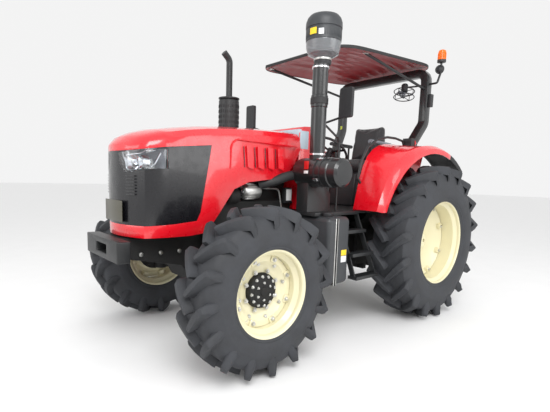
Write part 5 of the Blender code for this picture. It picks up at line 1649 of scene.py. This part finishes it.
@dataclass
class DriverPlace:
    """The seat's arms, levers, panel, steering wheel and mirrors."""

    def build(self) -> None:
        """Build what is round the driver."""
        for node in ("seat_cushion", "seat_backrest"):
            Cushion(node).build()
        self.arms()
        self.panel()
        self.levers()
        self.steering()
        for side in Side:
            self.mirror(side)

    def arms(self) -> None:
        """Add the seat's armrests, one under a grey sleeve."""
        piece = Piece("armrests")
        low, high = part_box("seat_cushion")
        back, front = low[0] - AXLE_X, high[0] - AXLE_X
        for side in Side:
            y = side.value * (max(abs(low[1]), abs(high[1])) + 0.035)
            finish = Finishes.GREY if side is Side.LEFT else Finishes.SEAT
            piece.rod([(back - 0.02, y, 1.86), (front - 0.12, y, 1.875)], 0.032, finish, sides=20, flat=0.7)
            piece.rod([(back + 0.02, y, 1.86), (back + 0.02, y, 1.62)], 0.012, Finishes.SATIN)
            piece.rod([(back + 0.02, y, 1.62), (back + 0.06, y * 0.6, 1.60)], 0.012, Finishes.SATIN)
        piece.on("chassis")

    def panel(self) -> None:
        """Dress the console and add the instrument panel's pale face with its blank dials."""
        piece = Piece("console_skin")
        piece.copy("dash_console", Finishes.RED, 0.006)
        piece.block((1.215, -0.24, 1.72), (1.232, 0.24, 1.895), Finishes.PALE, 0.01,
                    Matrix.Rotation(0.35, 3, "Y"), (1.22, 0.0, 1.80))
        for y, r in ((-0.12, 0.045), (0.0, 0.055), (0.12, 0.045)):
            dial = [(0.001, -0.03), (r - 0.004, -0.031), (r, -0.027), (r + 0.003, 0.0)]
            piece.turned(dial, (1.20, y, 1.81), Axis.X, Finishes.GLOSS, 32)
        piece.block((1.255, -0.302, 1.70), (1.40, 0.302, 1.90), Finishes.PALE, 0.02)
        piece.on("chassis", ["dash_console"])

    def levers(self) -> None:
        """Add the levers with their boots and knobs, the side consoles and the pedals."""
        piece = Piece("levers")
        spots = [((0.92, 0.20, 1.14), (0.80, 0.22, 1.62)), ((0.90, -0.20, 1.14), (0.78, -0.24, 1.60)),
                 ((0.30, 0.36, 1.30), (0.42, 0.40, 1.80)), ((0.22, 0.38, 1.30), (0.33, 0.42, 1.74)),
                 ((0.26, -0.38, 1.30), (0.38, -0.42, 1.78))]
        boot = [(0.030, 0.0), (0.026, 0.02), (0.028, 0.03), (0.018, 0.05), (0.019, 0.06), (0.010, 0.085)]
        knob = [(0.004, -0.01), (0.016, 0.0), (0.021, 0.018), (0.018, 0.035), (0.008, 0.044), (0.001, 0.046)]
        for foot, top in spots:
            piece.rod([foot, top], 0.008, Finishes.SATIN, sides=10)
            piece.turned(boot, foot, Axis.Z, Finishes.RUBBER, 20)
            piece.turned(knob, top, Axis.Z, Finishes.GLOSS, 20)
        for y in (0.33, -0.45):
            piece.block((0.20, y, 1.14), (0.44, y + 0.12, 1.36), Finishes.PLASTIC, 0.02)
        for y in (-0.22, -0.14, 0.20):
            piece.rod([(1.02, y, 1.46), (0.93, y, 1.30), (0.95, y, 1.22)], 0.008, Finishes.SATIN, 0.03, 10)
            piece.block((0.90, y - 0.035, 1.205), (0.99, y + 0.035, 1.222), Finishes.RUBBER, 0.004)
        piece.on("chassis")

    def steering(self) -> None:
        """Stand smooth copies in for the wheel and its column."""
        carried("steering_wheel", Finishes.PLASTIC, 0.0, 40.0)
        carried("steering_column", Finishes.PLASTIC, 0.003)

    def mirror(self, side: Side) -> None:
        """Build one mirror: moulded back, glass and bent arm.

        Args:
            side: the side.
        """
        node = f"mirror_{side.word}"
        way = side.value
        piece = Piece(f"{node}_fine")
        y = way * 0.69
        corners = [(y - 0.069, 1.985), (y + 0.069, 1.985), (y + 0.069, 2.245), (y - 0.069, 2.245)]
        bend = 0.02
        outline = []
        for i, (a, b) in enumerate(corners):
            centre = (a + (bend if a < y else -bend), b + (bend if b < 2.1 else -bend))
            start = math.pi + i * math.pi / 2
            outline += [(centre[0] + bend * math.cos(start + q * math.pi / 8),
                         centre[1] + bend * math.sin(start + q * math.pi / 8)) for q in range(5)]
        piece.plate(outline, 1.191, 1.224, Finishes.PLASTIC, 0.009, "YZ")
        face = [(a + (y - a) * 0.1, b + (2.115 - b) * 0.07) for a, b in outline]
        piece.plate(face, 1.1895, 1.1915, Finishes.MIRROR, 0.0, "YZ")
        foot = (1.20, way * 0.62, 1.141)
        knee = (1.20, way * 0.62, 1.80)
        arm = [foot, knee, (1.24, way * 0.46, 1.95), (1.20, way * 0.66, 2.0), (1.20, y, 2.06)]
        piece.rod(arm, 0.010, Finishes.SATIN, 0.03, 12)
        sleeve = [(0.016, -0.02), (0.018, -0.012), (0.018, 0.012), (0.016, 0.02)]
        piece.turned(sleeve, knee, Axis.Z, Finishes.RUBBER, 20)
        piece.on("chassis", [node])


# ---------------------------------------------------------------- body details


@dataclass
class EngineBay:
    """The block under the bonnet, with its bolts, pipes, alternator, belt and control box."""

    side: float = 0.21
    alternator: Point = (1.95, 0.255, 1.31)
    pulley: Point = (2.035, 0.255, 1.31)
    belt_x: float = 2.047

    def build(self) -> None:
        """Dress the engine."""
        carried("engine", Finishes.CAST, 0.008)
        piece = Piece("engine_fittings")
        for way in (1.0, -1.0):
            bolt_head = bolt(0.009, 0.010 * way, Axis.Y, (0.0, 0.0, 0.0))
            piece.row(bolt_head, 7, (1.42, way * (self.side + 0.001), 1.10), (0.11, 0.0, 0.0))
            near, far = way * (self.side + 0.02), way * (self.side + 0.05)
            piece.rod([(1.38, near, 1.20), (2.0, near, 1.22)], 0.010, Finishes.SATIN)
            pipe = [(1.52, way * (self.side + 0.03), 1.05), (1.60, far, 1.33), (1.85, far, 1.34)]
            piece.rod(pipe, 0.008, Finishes.STEEL, 0.04)
        body = [(0.062, -0.10), (0.066, -0.09), (0.066, 0.06), (0.058, 0.075), (0.040, 0.08)]
        piece.turned(body, self.alternator, Axis.X, Finishes.STEEL, 40)
        grooved = [(0.040, 0.0), (0.045, 0.004), (0.036, 0.012), (0.045, 0.020), (0.040, 0.024)]
        piece.turned(grooved, self.pulley, Axis.X, Finishes.CHROME, 40)
        fin = Piece("fin")
        fin.block((-0.055, 0.062, -0.002), (0.045, 0.070, 0.002), Finishes.STEEL, 0.0008)
        piece.ring(fin, 18, self.alternator, Axis.X)
        belt = [(self.belt_x, y, z) for y, z in
                ((0.30, 1.32), (0.12, 1.12), (0.03, 1.10), (0.21, 1.33), (0.30, 1.32))]
        piece.rod(belt, 0.006, Finishes.RUBBER, 0.02, 8)
        piece.block((1.47, 0.295, 1.225), (1.535, 0.300, 1.33), Finishes.WHITE, 0.001)
        piece.block((1.46, 0.24, 1.20), (1.545, 0.295, 1.345), Finishes.PLASTIC, 0.008)
        piece.on("chassis")


@dataclass
class Panels:
    """The fenders and their lamps, the steps, the tank and the roll-over frame's fittings."""

    def build(self) -> None:
        """Dress the panels on both sides."""
        for side in Side:
            self.fender(side)
            self.ladder(side)
        self.tank()
        self.frame_fittings()

    def fender(self, side: Side) -> None:
        """Stand a smooth fender in, with its extension and rail, and add its lamps.

        Args:
            side: the side.
        """
        way = side.value
        carried(f"fender_{side.word}", Finishes.RED, 0.002, 30.0)
        carried(f"fender_extension_{side.word}", Finishes.RUBBER, 0.001, 30.0)
        carried(f"grab_rail_{side.word}", Finishes.SATIN, 0.0, 40.0)
        piece = Piece(f"fender_fittings_{side.word}")
        piece.turned([(0.001, 0.022), (0.030, 0.019), (0.038, 0.0), (0.038, -0.045), (0.034, -0.05)],
                     (0.085, way * 0.655, 1.855), Axis.X, Finishes.AMBER, 32)
        piece.turned([(0.001, 0.022), (0.030, 0.019), (0.038, 0.0), (0.036, -0.01)],
                     (0.000, way * 0.655, 1.855), Axis.X, Finishes.RED_LENS, 32, way=-1.0)
        piece.on("chassis")

    def ladder(self, side: Side) -> None:
        """Stand a ladder with rounded edges in.

        Args:
            side: the side.
        """
        node = f"step_{side.word}"
        piece = Piece(f"{node}_fine")
        piece.copy(node, Finishes.SATIN, 0.0015)
        piece.on("chassis", [node])

    def tank(self) -> None:
        """Dress the tank and the battery box with a filler cap, straps and blank labels."""
        piece = Piece("tank_skin")
        piece.copy("fuel_tank", Finishes.GREY_DARK, 0.014)
        low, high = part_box("fuel_tank")
        x0, x1 = low[0] - AXLE_X, high[0] - AXLE_X
        piece.turned([(0.045, 0.0), (0.048, 0.006), (0.048, 0.03), (0.042, 0.038), (0.001, 0.040)],
                     (x1 - 0.10, high[1] - 0.12, high[2] - 0.004), Axis.Z, Finishes.PLASTIC, 40)
        side = high[1]
        for foot, head, finish in ((0.34, 0.29, Finishes.YELLOW), (0.40, 0.345, Finishes.WHITE)):
            piece.block((x0 + 0.05, side - 0.001, high[2] - foot), (x0 + 0.12, side + 0.0015, high[2] - head),
                        finish, 0.0005)
        under, face = low[2] - 0.003, side + 0.003
        for x in (x0 + 0.18, x1 - 0.12):
            piece.block((x, low[1], under), (x + 0.03, face, low[2] + 0.001), Finishes.STEEL, 0.001)
            piece.block((x, side - 0.001, under), (x + 0.03, face, high[2] - 0.01), Finishes.STEEL, 0.001)
        piece.on("chassis", ["fuel_tank"])
        carried("battery_box", Finishes.PLASTIC, 0.012)

    def frame_fittings(self) -> None:
        """Stand a rounded roll-over frame in and add its reflector and junction box."""
        carried("roll_over_frame", Finishes.SATIN_GLOSS, 0.008)
        piece = Piece("frame_fittings")
        piece.block((-0.27, -0.585, 2.02), (-0.252, -0.555, 2.16), Finishes.REFLECTOR, 0.001)
        piece.block((-0.345, 0.637, 2.28), (-0.285, 0.67, 2.42), Finishes.PLASTIC, 0.006)
        piece.on("chassis")


@dataclass
class Running:
    """Axles, steering gear, linkage and the front weight carrier."""

    def build(self) -> None:
        """Dress the running gear."""
        plain = {
            "gearbox": (Finishes.CAST, 0.010), "rear_axle_housing": (Finishes.CAST, 0.008),
            "front_axle_beam": (Finishes.CAST, 0.008), "tie_rod": (Finishes.STEEL, 0.001),
            "front_support": (Finishes.CAST, 0.006), "front_weight_bracket": (Finishes.SATIN, 0.004),
            "platform_floor": (Finishes.SATIN, 0.003), "seat_base": (Finishes.PLASTIC, 0.006),
            "fan_blades": (Finishes.GREY, 0.0), "fan_guard": (Finishes.GREY_DARK, 0.0),
            "lift_arms": (Finishes.SATIN, 0.003), "knuckle_left": (Finishes.CAST, 0.005),
            "knuckle_right": (Finishes.CAST, 0.005), "lower_link_left": (Finishes.SATIN, 0.002),
            "lower_link_right": (Finishes.SATIN, 0.002), "lift_rod_left": (Finishes.SATIN, 0.001),
            "lift_rod_right": (Finishes.SATIN, 0.001),
        }
        for node, (finish, edge) in plain.items():
            carried(node, finish, edge)
        self.front_fittings()
        self.rear_fittings()

    def front_fittings(self) -> None:
        """Add the steering cylinder, its hoses and the support's bolts."""
        piece = Piece("front_fittings")
        piece.rod([(2.235, -0.30, 0.70), (2.235, 0.30, 0.70)], 0.032, Finishes.SATIN, sides=24)
        piece.rod([(2.235, -0.46, 0.70), (2.235, 0.46, 0.70)], 0.014, Finishes.CHROME, sides=16)
        for way in (1.0, -1.0):
            piece.rod([(2.235, way * 0.22, 0.73), (2.20, way * 0.20, 0.84), (2.10, way * 0.16, 0.88)], 0.010,
                      Finishes.RUBBER, 0.05, 10)
            head = bolt(0.013, 0.013 * way, Axis.Y, (0.0, 0.0, 0.0))
            piece.row(head, 3, (2.60, way * 0.1995, 0.83), (0.16, 0.0, 0.0))
        piece.on("chassis")

    def rear_fittings(self) -> None:
        """Add the remote valves."""
        piece = Piece("rear_fittings")
        for y in (-0.10, -0.04, 0.04, 0.10):
            valve = [(0.018, 0.0), (0.020, 0.006), (0.020, 0.03), (0.014, 0.038), (0.001, 0.040)]
            piece.turned(valve, (-0.36, y, 1.08), Axis.X, Finishes.STEEL, 20, way=-1.0)
        piece.on("chassis")


# ---------------------------------------------------------------- whole

FRONT_RADIUS, FRONT_BEAD = 0.62, 0.305
REAR_RADIUS, REAR_BEAD = 0.805, 0.432
FRONT_DISC = [
    (0.131, -0.0115), (0.178, -0.0115), (0.2, 0.0), (0.222, 0.019), (0.262, 0.02), (0.262, 0.034),
    (0.22, 0.034), (0.195, 0.012), (0.175, 0.0), (0.131, -0.0015),
]
REAR_DISC = [
    (0.02, -0.0175), (0.062, -0.019), (0.075, -0.026), (0.0775, -0.036), (0.0775, -0.09), (0.16, -0.108),
    (0.29, -0.1), (0.385, -0.03), (0.385, -0.016), (0.29, -0.086), (0.16, -0.093), (0.085, -0.08),
    (0.02, -0.14),
]


def main() -> None:
    """Build every sub-assembly in order."""
    logging.basicConfig(level=logging.INFO, format="%(name)s %(message)s", stream=sys.stdout)
    Studio().build()
    for side in Side:
        word = side.word
        Tyre(f"front_tyre_{word}", side, FRONT_RADIUS, 0.345, FRONT_BEAD, 16, 0.060, 0.046, 0.30).build()
        Tyre(f"rear_tyre_{word}", side, REAR_RADIUS, 0.430, REAR_BEAD, 18, 0.062, 0.055, 0.29).build()
        Rim(f"front_rim_{word}", side, FRONT_RADIUS, FRONT_BEAD, 0.305, FRONT_DISC, 8, 0.205, 0.02, 8).build()
        Rim(f"rear_rim_{word}", side, REAR_RADIUS, REAR_BEAD, 0.380, REAR_DISC, 8, 0.125, -0.085, 8).build()
        FrontHub(side).build()
    rest = (Bonnet, Intake, Exhaust, Canopy, Lamps, DriverPlace, EngineBay, Panels, Running)
    for assembly in rest:
        assembly().build()


if __name__ == "__main__":
    main()
